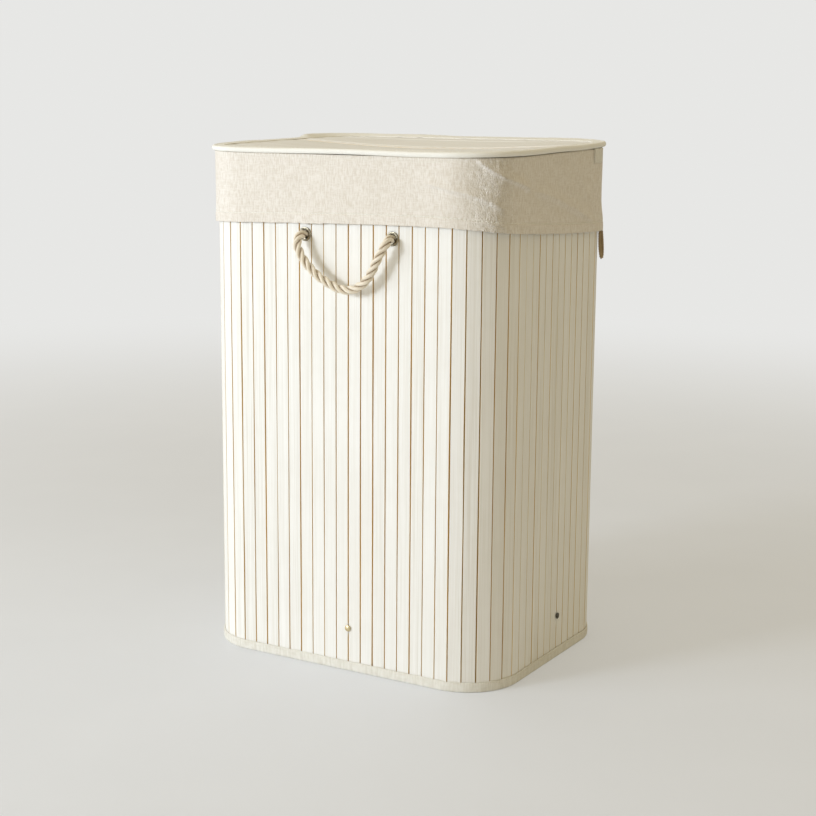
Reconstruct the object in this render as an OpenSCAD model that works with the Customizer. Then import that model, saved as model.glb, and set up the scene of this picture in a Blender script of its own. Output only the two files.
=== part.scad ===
// Laundry hamper: a wall of upright bamboo slats on a cloth backing, held by two inner hoops,
// with a loose cloth liner turned down over the rim, a slatted lid on cloth hinge straps,
// and a rope handle at the front and at the back.
// The front faces -Y, the hamper stands on z = 0 and is centred on the Z axis.

/* [Body] */
// Width of the body over its slats
body_w = 392; // [340:1:440]
// Depth of the body over its slats
body_d = 306; // [260:1:350]
// Radius of the body's upright corners
corner_r = 64; // [50:1:80]
// Height of the wall with its edge tapes
wall_h = 588; // [520:1:660]

/* [Slats] */
// Width of one wall slat
slat_w = 15.2; // [12:0.1:17]
// Thickness of the wall slats
slat_t = 3; // [2:0.1:4]
// Smallest gap between neighbouring wall slats
slat_gap = 1; // [0.8:0.1:1.6]
// Bevel on the outer long edges of a slat
slat_bevel = 0.5; // [0.2:0.1:0.8]
// Where the front screw's slat joint lies, right of the middle
joint_x = 12.2; // [6:0.1:18]
// Thickness of the cloth that the slats are glued to
backing_t = 0.8; // [0.5:0.1:1.2]

/* [Edge tapes] */
// Thickness of the woven edge tape
tape_t = 1; // [0.6:0.1:1.4]
// Height of the edge tape on the wall
tape_h = 11.7; // [8:0.1:18]
// Room between the slats and the tape, taken up by slat corners on the bends
tape_gap = 0.5; // [0.5:0.1:0.9]

/* [Hoops and screws] */
// Height of the hoop laths
hoop_h = 18; // [14:0.5:24]
// Thickness of the hoop laths
hoop_t = 5; // [4:0.5:7]
// Height of the lower screws above the floor
lower_screw_z = 51; // [40:1:70]
// Distance of the upper screws below the rim
upper_screw_drop = 26; // [24:1:34]
// How far back from the middle the side screws sit
side_screw_y = 16; // [-20:1:24]
// Diameter of the screw shanks
screw_d = 4; // [3:0.1:5]
// Diameter of the screw heads
screw_head_d = 7.5; // [6.5:0.1:9]
// Height of the screw heads
screw_head_h = 1.5; // [1:0.1:1.6]
// Width across the flats of the nuts
nut_af = 7; // [6.5:0.1:9]
// Thickness of the nuts
nut_t = 3; // [2:0.1:3.2]

/* [Base] */
// Thickness of the base board
board_t = 4; // [3:0.5:8]
// Room between the base board and the bottom tape
board_gap = 0.8; // [0.5:0.1:3]

/* [Liner] */
// Thickness of the liner cloth
cloth_t = 1.2; // [0.8:0.1:1.6]
// Thickness of the hemmed cuff
cuff_t = 1.6; // [1.2:0.1:2.4]
// Room between the slats and the cuff
cuff_gap = 2.2; // [2.2:0.1:4]
// Height of the cuff's hem, from the rim
hem_z = -78; // [-80:1:-63]
// How far the bag hangs in from the slats at the rim
bag_in_top = 13; // [13:0.5:16]
// How far the bag hangs in from the slats below the handles
bag_in = 20; // [20:0.5:30]
// Diameter of the liner's pull cord
pull_d = 4; // [3:0.1:5]

/* [Handles] */
// Diameter of the rope
rope_d = 8.6; // [6:0.1:9]
// Height of the eyelets, from the rim
eyelet_z = -87; // [-108:1:-87]
// Slats from one eyelet of a handle to the other
handle_slats = 7; // [5:2:9]
// Bore of the eyelets
eyelet_bore = 10; // [9.4:0.1:11]
// Diameter of the eyelet flanges
eyelet_flange_d = 16; // [14:0.1:17]
// Height of the eyelet flanges over the slats
eyelet_flange_h = 1.6; // [1:0.1:1.8]
// Wall of the eyelet barrels
eyelet_wall = 0.7; // [0.5:0.05:0.9]
// Distance from the slats to the point where a handle swings
swing_out = 12; // [11:0.5:14]

/* [Lid] */
// How far the lid reaches past the slats
lid_over = 7.5; // [6:0.5:12]
// Height of the lid's edge
lid_h = 6; // [5.8:0.1:9]
// Width of the tape folded round the lid's edge
lid_tape_w = 16; // [14:0.5:24]
// Diameter of the wire hoop inside the lid's edge
lid_wire_d = 4; // [3:0.1:4]
// Width of one lid slat
lid_slat_w = 15.2; // [12:0.1:17]
// Thickness of the lid slats
lid_slat_t = 2.6; // [2:0.1:2.8]
// Rise of the closed lid towards the back, in degrees, over the liner bunched there
lid_rise = 1.3; // [0:0.1:2]
// How far the slatted panel sags in the middle
lid_sag = 7.5; // [0:0.5:10]
// Width of the hinge straps
strap_w = 40; // [25:1:50]
// Distance of a hinge strap's middle from the hamper's middle
strap_x = 98; // [60:1:100]
// Thickness of the hinge straps
strap_t = 0.9; // [0.6:0.1:1.2]
// Length of a hinge strap down the back
strap_drop = 44; // [30:1:60]
// Width of the side tab
tab_w = 21; // [15:1:30]
// Length of the side tab below the lid
tab_drop = 17; // [12:1:24]
// Distance of the side tab's middle behind the hamper's middle
tab_y = 88; // [40:1:88]

/* [Hidden] */

// Clearances
seat = 0.3; // between pieces that move against each other
fit = 0.2; // round a shank or barrel in its hole, and under the lid's slats
eps = 0.01; // lets a cutting tool pass the face that it cuts

// Plan of the wall, measured round its outer face from the middle of the front, anticlockwise
front_run = body_w - 2 * corner_r;
side_run = body_d - 2 * corner_r;
bend_run = PI / 2 * corner_r;
perimeter = 2 * (front_run + side_run) + 4 * bend_run;
bend_starts = [
  front_run / 2,
  front_run / 2 + bend_run + side_run,
  front_run * 1.5 + 2 * bend_run + side_run,
  front_run * 1.5 + 3 * bend_run + 2 * side_run,
];
bend_ends = [for (s = bend_starts) s + bend_run];
side_middle = bend_ends[0] + side_run / 2;
back_middle = perimeter / 2;

// Slats round the wall
slat_count = floor(perimeter / (slat_w + slat_gap));
pitch = perimeter / slat_count;
eyelet_barrel_d = eyelet_bore + 2 * eyelet_wall;
eyelet_hole_d = eyelet_barrel_d + 2 * fit;
screw_hole_d = screw_d + 2 * fit;

// Layers of the wall, as distances out from the slats' outer face
backing_in = -slat_t - backing_t;
hoop_in = backing_in - hoop_t;
tape_in = backing_in - tape_t;
tape_out = tape_gap + tape_t;
cuff_out = cuff_gap + cuff_t;
upper_screw_z = wall_h - upper_screw_drop;
hem_at = wall_h + hem_z;
eyelet_at = wall_h + eyelet_z;

// Eyelet: the flange lies on the slats, and the rolled lip holds a washer to the backing
washer_t = 0.8;
lip_h = 0.6;
lip_in = backing_in - washer_t - lip_h;
lip_d = eyelet_barrel_d + 1.8;

// Stopper knot inside each eyelet, two turns of rope and a short tail
knot_turn_r = rope_d * 0.3;
knot_turn_at = rope_d / 2 + 1.2;
knot_pitch = 3.8;
knot_len = 2 * knot_turn_r + knot_pitch;
knot_tail = 3;

// Closed lid: its underside lies on a plane that rises to the back from the turned-over cuff
lid_front_y = -body_d / 2 - cuff_out;
lid_gap_z = cuff_t + seat;
lid_in = lid_over - lid_tape_w;
lid_panel_out = lid_over - tape_t - lid_wire_d - 2 * seat;
lid_row_pitch = lid_slat_w + slat_gap;
lid_rows = floor((body_d + 2 * lid_panel_out) / lid_row_pitch);

// The panel lies on the cuff and sags inside it: row by row, how deep and how far to each side
rim_in = bag_in_top + cloth_t;
function row_edge(row) = (row - lid_rows / 2) * lid_row_pitch;
function row_y(row) = row_edge(row + 0.5);
function row_reach(row) = abs(row_y(row)) + lid_row_pitch / 2;
function row_drop(row) =
  row_reach(row) < body_d / 2 - rim_in
    ? lid_sag * (1 - pow(row_y(row) / (body_d / 2 - rim_in), 2)) : 0;
function row_half(row) =
  front_run / 2
    + sqrt(pow(corner_r - rim_in, 2) - pow(max(0, row_reach(row) - side_run / 2), 2));

// Rope loop, right of the handle's middle, out from the slats and up from the eyelets
ROPE_ROUTE = [
  [-57, 12, 0], [-58, 14, -4], [-57, 16, -13], [-47, 16, -29], [-33, 15, -42], [-18, 14, -51],
  [-3, 13, -57], [12, 13, -57], [27, 14, -50], [38, 15, -38], [46, 16, -24], [53, 16, -11],
  [58, 14, -4], [57, 12, 0],
];
// Pull cord, along the wall, out from the slats and up from the hem
PULL_ROUTE = [
  [-3, 3.2, 0], [-3, 3.2, -6], [-5, 3.4, -18], [-7, 3.6, -32], [-6, 3.6, -42], [0, 3.6, -47],
  [6, 3.6, -42], [7, 3.6, -32], [5, 3.4, -18], [3, 3.2, -6], [3, 3.2, 0],
];
PULL_BEND = 24; // degrees round the back right bend to the pull cord
ROPE_STEPS = 2;
TUBE_SIDES = 10;
PULL_SIDES = 8;

BAMBOO = [0.96, 0.95, 0.9];
LINEN = [0.86, 0.81, 0.71];
TAPE = [0.95, 0.94, 0.9];
ROPE = [0.78, 0.71, 0.58];
STEEL = [0.72, 0.72, 0.7];
BRASS = [0.8, 0.7, 0.45];
RAW_BAMBOO = [0.82, 0.7, 0.5];

$fn = 96;

function within(v, lo, hi) = max(lo, min(hi, v));
function around_once(s) = s - perimeter * floor(s / perimeter);

// Heading of the wall at s: 0 along the front, 90 up the right side and so on
function heading(s) =
  let (parts = [for (b = bend_starts) within((s - b) / bend_run, 0, 1) * 90])
  parts[0] + parts[1] + parts[2] + parts[3];

// Centre of curvature of the wall at s, which slides along the straight runs
function bend_centre(s) = [
  within(s, 0, front_run / 2) - within(s - bend_ends[1], 0, front_run)
    + within(s - bend_ends[3], 0, front_run / 2),
  within(s - bend_ends[0], 0, side_run) - side_run / 2 - within(s - bend_ends[2], 0, side_run),
];

// Nearest joint between two slats
function joint_near(s) = joint_x + round((s - joint_x) / pitch) * pitch;

handle_joints = [joint_near(joint_x), joint_near(back_middle)];
screw_joints = [
  joint_near(joint_x), joint_near(side_middle + side_screw_y),
  joint_near(back_middle), joint_near(perimeter - side_middle),
];

// Children drawn in front of the middle of the front face, moved to s along the wall
module at_wall(s) {
  at = around_once(s);
  turn = heading(at);
  centre = bend_centre(at);
  translate([centre[0] + corner_r * sin(turn), centre[1] - corner_r * cos(turn), 0])
    rotate(turn)
      children();
}

// Plan of the body grown by out
module plan(out) {
  r = corner_r + out;
  square([front_run, body_d + 2 * out], center = true);
  square([body_w + 2 * out, side_run], center = true);
  for (x = [-1, 1], y = [-1, 1])
    translate([x * front_run / 2, y * side_run / 2])
      circle(r);
}

// Upright ring between two distances out from the slats
module ring(inner, outer, z, h) {
  translate([0, 0, z])
    linear_extrude(h)
      difference() {
        plan(outer);
        plan(inner);
      }
}

// Profile with x out from the slats and y up, taken round the body
module around() {
  for (k = [0:3]) {
    reach = k % 2 == 0 ? body_w / 2 : body_d / 2;
    run = k % 2 == 0 ? side_run : front_run;
    rotate(90 * k) {
      translate([reach, run / 2, 0])
        rotate([90, 0, 0])
          linear_extrude(run)
            children();
      translate([reach - corner_r, run / 2, 0])
        rotate_extrude(angle = 90)
          translate([corner_r, 0])
            children();
    }
  }
}

// Round holes through the wall at z, beside the slat joint s
module wall_hole(s, z, d) {
  at_wall(s)
    translate([0, -corner_r / 2, z])
      rotate([-90, 0, 0])
        cylinder(d = d, h = corner_r);
}

// Distances along the wall from a handle's joint to its two eyelets
function eyelet_offsets() = [-handle_slats / 2 * pitch, handle_slats / 2 * pitch];

module wall_holes() {
  for (s = screw_joints, z = [lower_screw_z, upper_screw_z])
    wall_hole(s, z, screw_hole_d);
  for (s = handle_joints, e = eyelet_offsets())
    wall_hole(s + e, eyelet_at, eyelet_hole_d);
}

// One upright slat, its outer face at y = 0
module slat() {
  translate([0, 0, tape_t])
    linear_extrude(wall_h - 2 * tape_t)
      polygon([
        [-slat_w / 2 + slat_bevel, 0], [slat_w / 2 - slat_bevel, 0], [slat_w / 2, slat_bevel],
        [slat_w / 2, slat_t], [-slat_w / 2, slat_t], [-slat_w / 2, slat_bevel],
      ]);
}

function slat_at(k) = around_once(joint_x + (k + 0.5) * pitch);

// Slats whose middle lies between two places round the wall
module slats_between(from, to) {
  color(BAMBOO)
    difference() {
      for (k = [0:slat_count - 1])
        if (slat_at(k) >= from && slat_at(k) < to)
          at_wall(slat_at(k)) slat();
      wall_holes();
    }
}

module front_slats() {
  slats_between(0, bend_starts[0]);
  slats_between(bend_ends[3], perimeter);
}
module front_right_slats() { slats_between(bend_starts[0], bend_ends[0]); }
module right_slats() { slats_between(bend_ends[0], bend_starts[1]); }
module back_right_slats() { slats_between(bend_starts[1], bend_ends[1]); }
module back_slats() { slats_between(bend_ends[1], bend_starts[2]); }
module back_left_slats() { slats_between(bend_starts[2], bend_ends[2]); }
module left_slats() { slats_between(bend_ends[2], bend_starts[3]); }
module front_left_slats() { slats_between(bend_starts[3], bend_ends[3]); }

module wall_backing() {
  color(LINEN)
    difference() {
      ring(backing_in, -slat_t, tape_t, wall_h - 2 * tape_t);
      wall_holes();
    }
}

// Tape folded over an edge of the wall
module edge_tape() {
  color(TAPE) {
    ring(tape_in, tape_out, 0, tape_t);
    ring(tape_in, backing_in, tape_t, tape_h - tape_t);
    ring(tape_gap, tape_out, tape_t, tape_h - tape_t);
  }
}

module bottom_tape() { edge_tape(); }

module top_tape() {
  translate([0, 0, wall_h])
    mirror([0, 0, 1])
      edge_tape();
}

module hoop(z) {
  color(RAW_BAMBOO)
    difference() {
      ring(hoop_in, backing_in, z - hoop_h / 2, hoop_h);
      for (s = screw_joints)
        wall_hole(s, z, screw_hole_d);
    }
}

module lower_hoop() { hoop(lower_screw_z); }
module upper_hoop() { hoop(upper_screw_z); }

// Round-headed screw, its head on the slats and its shank pointing inwards
module screw() {
  head_r = screw_head_d / 2;
  dome_r = (head_r * head_r + screw_head_h * screw_head_h) / (2 * screw_head_h);
  rotate([90, 0, 0]) {
    rotate_extrude()
      intersection() {
        square([head_r, screw_head_h]);
        translate([0, screw_head_h - dome_r])
          circle(dome_r);
      }
    translate([0, 0, hoop_in - nut_t + fit])
      cylinder(d = screw_d, h = nut_t - fit - hoop_in);
  }
}

module nut() {
  translate([0, -hoop_in, 0])
    rotate([-90, 0, 0])
      difference() {
        cylinder(d = nut_af / cos(30), h = nut_t, $fn = 6);
        translate([0, 0, -eps])
          cylinder(d = screw_d + fit / 2, h = nut_t + 2 * eps);
      }
}

module at_screws(z) {
  for (s = screw_joints)
    at_wall(s)
      translate([0, 0, z])
        children();
}

module lower_screws() { color(BRASS) at_screws(lower_screw_z) screw(); }
module upper_screws() { color(BRASS) at_screws(upper_screw_z) screw(); }
module lower_nuts() { color(STEEL) at_screws(lower_screw_z) nut(); }
module upper_nuts() { color(STEEL) at_screws(upper_screw_z) nut(); }

module base_cloth() {
  color(LINEN)
    linear_extrude(tape_t)
      plan(tape_in);
}

module base_board() {
  color(RAW_BAMBOO)
    translate([0, 0, tape_t])
      linear_extrude(board_t)
        plan(tape_in - board_gap);
}

// Eyelet about the Z axis, with z out from the slats: flange, barrel and rolled lip
module eyelet() {
  bore_r = eyelet_bore / 2;
  roll = eyelet_flange_h / 2;
  rotate_extrude()
    difference() {
      union() {
        translate([bore_r, 0])
          square([eyelet_flange_d / 2 - bore_r - roll, eyelet_flange_h]);
        translate([eyelet_flange_d / 2 - roll, roll])
          circle(roll);
        translate([bore_r, lip_in])
          square([eyelet_wall, -lip_in]);
        translate([bore_r, lip_in])
          square([lip_d / 2 - bore_r, lip_h]);
      }
      translate([bore_r, eyelet_flange_h])
        circle(eyelet_flange_h * 0.6);
    }
}

module at_eyelets(handle) {
  for (e = eyelet_offsets())
    at_wall(handle_joints[handle] + e)
      translate([0, 0, eyelet_at])
        rotate([90, 0, 0])
          children();
}

module eyelet_washer() {
  translate([0, 0, backing_in - washer_t])
    linear_extrude(washer_t)
      difference() {
        circle(d = eyelet_flange_d);
        circle(d = eyelet_hole_d);
      }
}

module front_eyelets() { color(STEEL) at_eyelets(0) eyelet(); }
module back_eyelets() { color(STEEL) at_eyelets(1) eyelet(); }
module front_eyelet_washers() { color(STEEL) at_eyelets(0) eyelet_washer(); }
module back_eyelet_washers() { color(STEEL) at_eyelets(1) eyelet_washer(); }

// Fixed end of the rope: its tail, stopper knot and the stretch through the eyelet
module rope_end() {
  rope_r = rope_d / 2;
  out = swing_out - rope_r - seat;
  rotate_extrude()
    intersection() {
      union() {
        translate([0, lip_in - knot_len - knot_tail])
          square([rope_r, out - lip_in + knot_len + knot_tail]);
        for (turn = [0, 1])
          translate([knot_turn_at, lip_in - knot_turn_r - turn * knot_pitch])
            circle(knot_turn_r);
      }
      translate([0, lip_in - knot_len - knot_tail])
        square([rope_d * 2, out - lip_in + knot_len + knot_tail]);
    }
}

module front_rope_ends() { color(ROPE) at_eyelets(0) rope_end(); }
module back_rope_ends() { color(ROPE) at_eyelets(1) rope_end(); }

// Points along a route, on a smooth curve through it
function curve_at(route, i, t) =
  let (
    last = len(route) - 1,
    p0 = route[max(i - 1, 0)], p1 = route[i], p2 = route[min(i + 1, last)], p3 = route[min(i + 2, last)]
  )
  0.5 * (2 * p1 + (p2 - p0) * t + (2 * p0 - 5 * p1 + 4 * p2 - p3) * t * t
    + (3 * p1 - p0 - 3 * p2 + p3) * t * t * t);
function smooth_route(route, steps) = [
  for (i = [0:len(route) - 2], k = [0:steps - 1]) curve_at(route, i, k / steps),
  route[len(route) - 1],
];
function unit(v) = v / norm(v);
function direction(points, i) =
  unit(points[min(i + 1, len(points) - 1)] - points[max(i - 1, 0)]);

// Ring of points round a cord; across is kept square to the cord's direction
function cord_ring(at, along, r, sides) =
  let (across = unit(cross(along, [0.02, 1, 0])), up = cross(across, along))
  [for (k = [0:sides - 1]) at + r * (cos(360 * k / sides) * across + sin(360 * k / sides) * up)];

// Tube along points, with a dome on each end where dome is true
module tube(points, d, sides, dome) {
  r = d / 2;
  last = len(points) - 1;
  head = direction(points, 0);
  tail = direction(points, last);
  rings = concat(
    dome ? [for (a = [75, 40]) cord_ring(points[0] - head * r * sin(a), head, r * cos(a), sides)] : [],
    [for (i = [0:last]) cord_ring(points[i], direction(points, i), r, sides)],
    dome ? [for (a = [40, 75]) cord_ring(points[last] + tail * r * sin(a), tail, r * cos(a), sides)] : []
  );
  count = len(rings);
  faces = concat(
    [[for (k = [0:sides - 1]) k]],
    [for (i = [0:count - 2], k = [0:sides - 1]) each [
      [i * sides + k, (i + 1) * sides + k, i * sides + (k + 1) % sides],
      [i * sides + (k + 1) % sides, (i + 1) * sides + k, (i + 1) * sides + (k + 1) % sides],
    ]],
    [[for (k = [sides - 1:-1:0]) (count - 1) * sides + k]]
  );
  polyhedron([for (g = rings, p = g) p], faces);
}

// Rope loop of a handle: its route runs right, out and up from the handle's joint
module rope_loop(handle) {
  span = handle_slats / 2 * pitch / ROPE_ROUTE[len(ROPE_ROUTE) - 1][0];
  route = [for (p = ROPE_ROUTE) [p[0] * span, ROPE_ROUTE[0][1] - swing_out - p[1], p[2]]];
  color(ROPE)
    at_wall(handle_joints[handle])
      translate([0, 0, eyelet_at])
        tube(smooth_route(route, ROPE_STEPS), rope_d, TUBE_SIDES, true);
}

module front_rope() { rope_loop(0); }
module back_rope() { rope_loop(1); }

module liner_pull() {
  color(ROPE)
    at_wall(bend_starts[1] + PULL_BEND / 90 * bend_run)
      translate([0, 0, hem_at])
        tube([for (p = PULL_ROUTE) [p[0], -p[1], p[2]]], pull_d, PULL_SIDES, false);
}

// Frame of the closed lid: children's z = 0 lies gap over the plane of the cuff's underside
module on_lid_plane(gap) {
  translate([0, lid_front_y, wall_h])
    rotate([lid_rise, 0, 0])
      translate([0, -lid_front_y, gap])
        children();
}

// What of the children lies below the lid's plane, raised by gap
module below_lid(gap) {
  reach = body_w + body_d;
  intersection() {
    children();
    on_lid_plane(gap)
      translate([-reach, -reach, -2 * wall_h])
        cube([2 * reach, 2 * reach, 2 * wall_h]);
  }
}

bag_top = wall_h - 8;
bag_foot = tape_t + board_t;
bag_slope_top = eyelet_at + eyelet_flange_d + 28;
bag_slope_foot = eyelet_at + eyelet_flange_d;

// Bag inside the wall: close to the hoop at the rim, hanging clear of the knots below it
module liner_bag() {
  color(LINEN) {
    around()
      polygon([
        [-bag_in_top, bag_top], [-bag_in_top, bag_slope_top], [-bag_in, bag_slope_foot],
        [-bag_in, bag_foot], [-bag_in - cloth_t, bag_foot], [-bag_in - cloth_t, bag_slope_foot],
        [-bag_in_top - cloth_t, bag_slope_top], [-bag_in_top - cloth_t, bag_top],
      ]);
    translate([0, 0, bag_foot])
      linear_extrude(cloth_t)
        plan(-bag_in);
  }
}

// Cuff turned down over the rim, its top rising to the back with the lid
module liner_cuff() {
  high = wall_h - hem_at + body_d;
  inner = -rim_in;
  color(LINEN)
    difference() {
      below_lid(cuff_t)
        difference() {
          ring(inner, cuff_out, hem_at, high);
          ring(inner - eps, -bag_in_top, hem_at - eps, bag_top - hem_at + eps);
        }
      below_lid(0)
        ring(-bag_in_top, cuff_gap, hem_at - eps, high);
    }
}

// Hinge strap sewn to the back of the cuff, its top just under the lid's edge
module hinge_straps() {
  color(TAPE)
    below_lid(cuff_t)
      for (x = [-strap_x, strap_x])
        translate([x - strap_w / 2, body_d / 2 + cuff_out, wall_h - strap_drop])
          cube([strap_w, strap_t, strap_drop * 2]);
}

// Tape folded round the lid's edge, open towards the panel
module lid_tape() {
  edge_r = lid_h / 2 - eps;
  color(TAPE)
    on_lid_plane(lid_gap_z)
      around()
        difference() {
          union() {
            translate([lid_in, 0])
              square([lid_tape_w - edge_r / 2, lid_h]);
            translate([lid_over - edge_r / 2, edge_r / 2])
              circle(edge_r / 2);
            translate([lid_over - edge_r / 2, lid_h - edge_r / 2])
              circle(edge_r / 2);
            translate([lid_over - edge_r, edge_r / 2])
              square([edge_r, lid_h - edge_r]);
          }
          translate([lid_in - eps, tape_t])
            square([lid_tape_w - tape_t + eps, lid_h - 2 * tape_t]);
        }
}

module lid_wire() {
  color(STEEL)
    on_lid_plane(lid_gap_z)
      around()
        translate([lid_over - tape_t - fit - lid_wire_d / 2, tape_t + lid_wire_d / 2])
          circle(d = lid_wire_d);
}

// Side view of all that lies below a row at z: level at its ends, with an arc between them
module below_row(row, z, reach) {
  drop = row_drop(row);
  difference() {
    translate([-reach, -reach])
      square([2 * reach, reach + z]);
    if (drop > 0) {
      r = (pow(row_half(row), 2) + drop * drop) / (2 * drop);
      translate([0, z - drop + r])
        circle(r, $fn = 720);
    }
  }
}

// Sheet between two places across the panel, its top on one row's arc and its foot on another's
module row_sheet(top_row, foot_row, from, to, foot, top) {
  translate([0, to, 0])
    rotate([90, 0, 0])
      linear_extrude(to - from)
        difference() {
          below_row(top_row, top, body_w);
          below_row(foot_row, foot, 2 * body_w);
        }
}

// What of the children lies inside the panel's outline
module in_panel() {
  intersection() {
    translate([0, 0, -body_w / 2])
      linear_extrude(body_w)
        plan(lid_panel_out);
    union() children();
  }
}

// Cloth under the rows, stepping down from one to the next in the gap between them
module lid_backing() {
  last = lid_rows - 1;
  fold = backing_t / 8; // how far the steps lie inside the faces of the cloth
  side = slat_gap / 4; // from the middle of a gap to the cloth under each row
  step = slat_gap / 3; // from the middle of a gap to the sides of its step, clear of the slats
  color(LINEN)
    on_lid_plane(lid_gap_z + tape_t)
      in_panel() {
        for (row = [0:last])
          row_sheet(row, row, row == 0 ? -body_d : row_edge(row) + side,
            row == last ? body_d : row_edge(row + 1) - side, 0, backing_t);
        for (row = [1:last]) {
          high = row_drop(row) < row_drop(row - 1) ? row : row - 1;
          row_sheet(high, 2 * row - 1 - high, row_edge(row) - step, row_edge(row) + step,
            fold, backing_t - fold);
        }
      }
}

// Rows of slats along the lid, cut to its outline
module lid_slats() {
  color(BAMBOO)
    on_lid_plane(lid_gap_z + tape_t + backing_t + fit)
      for (row = [0:lid_rows - 1])
        in_panel()
          row_sheet(row, row, row_y(row) - lid_slat_w / 2, row_y(row) + lid_slat_w / 2, 0, lid_slat_t);
}

// Upper end of each hinge strap, sewn to the back of the lid's edge
module lid_strap_ends() {
  color(TAPE)
    on_lid_plane(lid_gap_z)
      for (x = [-strap_x, strap_x])
        translate([x - strap_w / 2, body_d / 2 + lid_over, lid_h / 4])
          cube([strap_w, strap_t, lid_h / 2]);
}

// Small tab sewn under the lid's edge, hanging outside the cuff
module lid_tab() {
  tab_t = lid_over - cuff_out - 2 * seat - tape_t;
  color(TAPE)
    on_lid_plane(lid_gap_z)
      translate([body_w / 2 + cuff_out + seat, tab_y - tab_w / 2, -tab_drop])
        cube([tab_t, tab_w, tab_drop]);
}

front_slats();
right_slats();
back_slats();
left_slats();
front_right_slats();
back_right_slats();
back_left_slats();
front_left_slats();
wall_backing();
bottom_tape();
top_tape();
lower_hoop();
upper_hoop();
lower_screws();
upper_screws();
lower_nuts();
upper_nuts();
base_cloth();
base_board();
front_eyelets();
back_eyelets();
front_eyelet_washers();
back_eyelet_washers();
front_rope_ends();
back_rope_ends();
front_rope();
back_rope();
liner_bag();
liner_cuff();
liner_pull();
hinge_straps();
lid_tape();
lid_wire();
lid_slats();
lid_backing();
lid_strap_ends();
lid_tab();
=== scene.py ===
"""Dresses the laundry hamper: a slatted bamboo basket, its cloth liner, a hinged slatted lid and two rope handles."""

import logging
import math
from collections.abc import Callable, Iterable, Sequence
from dataclasses import dataclass, field
from enum import Enum

import bpy
import numpy as np
from mathutils import Matrix

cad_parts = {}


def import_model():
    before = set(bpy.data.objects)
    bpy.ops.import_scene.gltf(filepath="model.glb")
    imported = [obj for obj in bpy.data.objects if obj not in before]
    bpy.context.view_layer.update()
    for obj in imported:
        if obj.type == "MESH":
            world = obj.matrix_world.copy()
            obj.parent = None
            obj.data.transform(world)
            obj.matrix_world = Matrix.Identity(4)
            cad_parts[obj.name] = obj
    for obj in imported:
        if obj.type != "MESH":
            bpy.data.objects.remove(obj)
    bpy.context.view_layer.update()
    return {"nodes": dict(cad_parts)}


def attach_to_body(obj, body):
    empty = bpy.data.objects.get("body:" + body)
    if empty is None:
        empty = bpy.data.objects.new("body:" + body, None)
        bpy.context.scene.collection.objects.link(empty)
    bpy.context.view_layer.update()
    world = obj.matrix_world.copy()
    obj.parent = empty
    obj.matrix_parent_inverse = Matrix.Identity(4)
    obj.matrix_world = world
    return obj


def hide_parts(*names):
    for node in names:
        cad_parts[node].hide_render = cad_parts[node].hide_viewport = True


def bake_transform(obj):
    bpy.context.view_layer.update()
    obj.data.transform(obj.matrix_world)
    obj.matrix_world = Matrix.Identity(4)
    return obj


frame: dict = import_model()

LOG = logging.getLogger("hamper")
MM = 0.001
UP = np.array([0.0, 0.0, 1.0])
Array = np.ndarray
Values = Array | float
Piece = bpy.types.Object


class Body(Enum):
    """The moving bodies of the hamper."""

    BASKET = "basket"
    LID = "lid"
    FRONT_HANDLE = "front_handle"
    BACK_HANDLE = "back_handle"


class Slot(Enum):
    """The record's material slots, passed along with the pieces but not read."""

    PAINTED_BAMBOO = "painted_bamboo"
    BACKING = "backing_cloth"
    LINEN = "liner_linen"
    TAPE = "white_tape"
    ROPE = "rope"
    STEEL = "steel"
    BRASS = "brass"


# ---- plan of the wall


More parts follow.
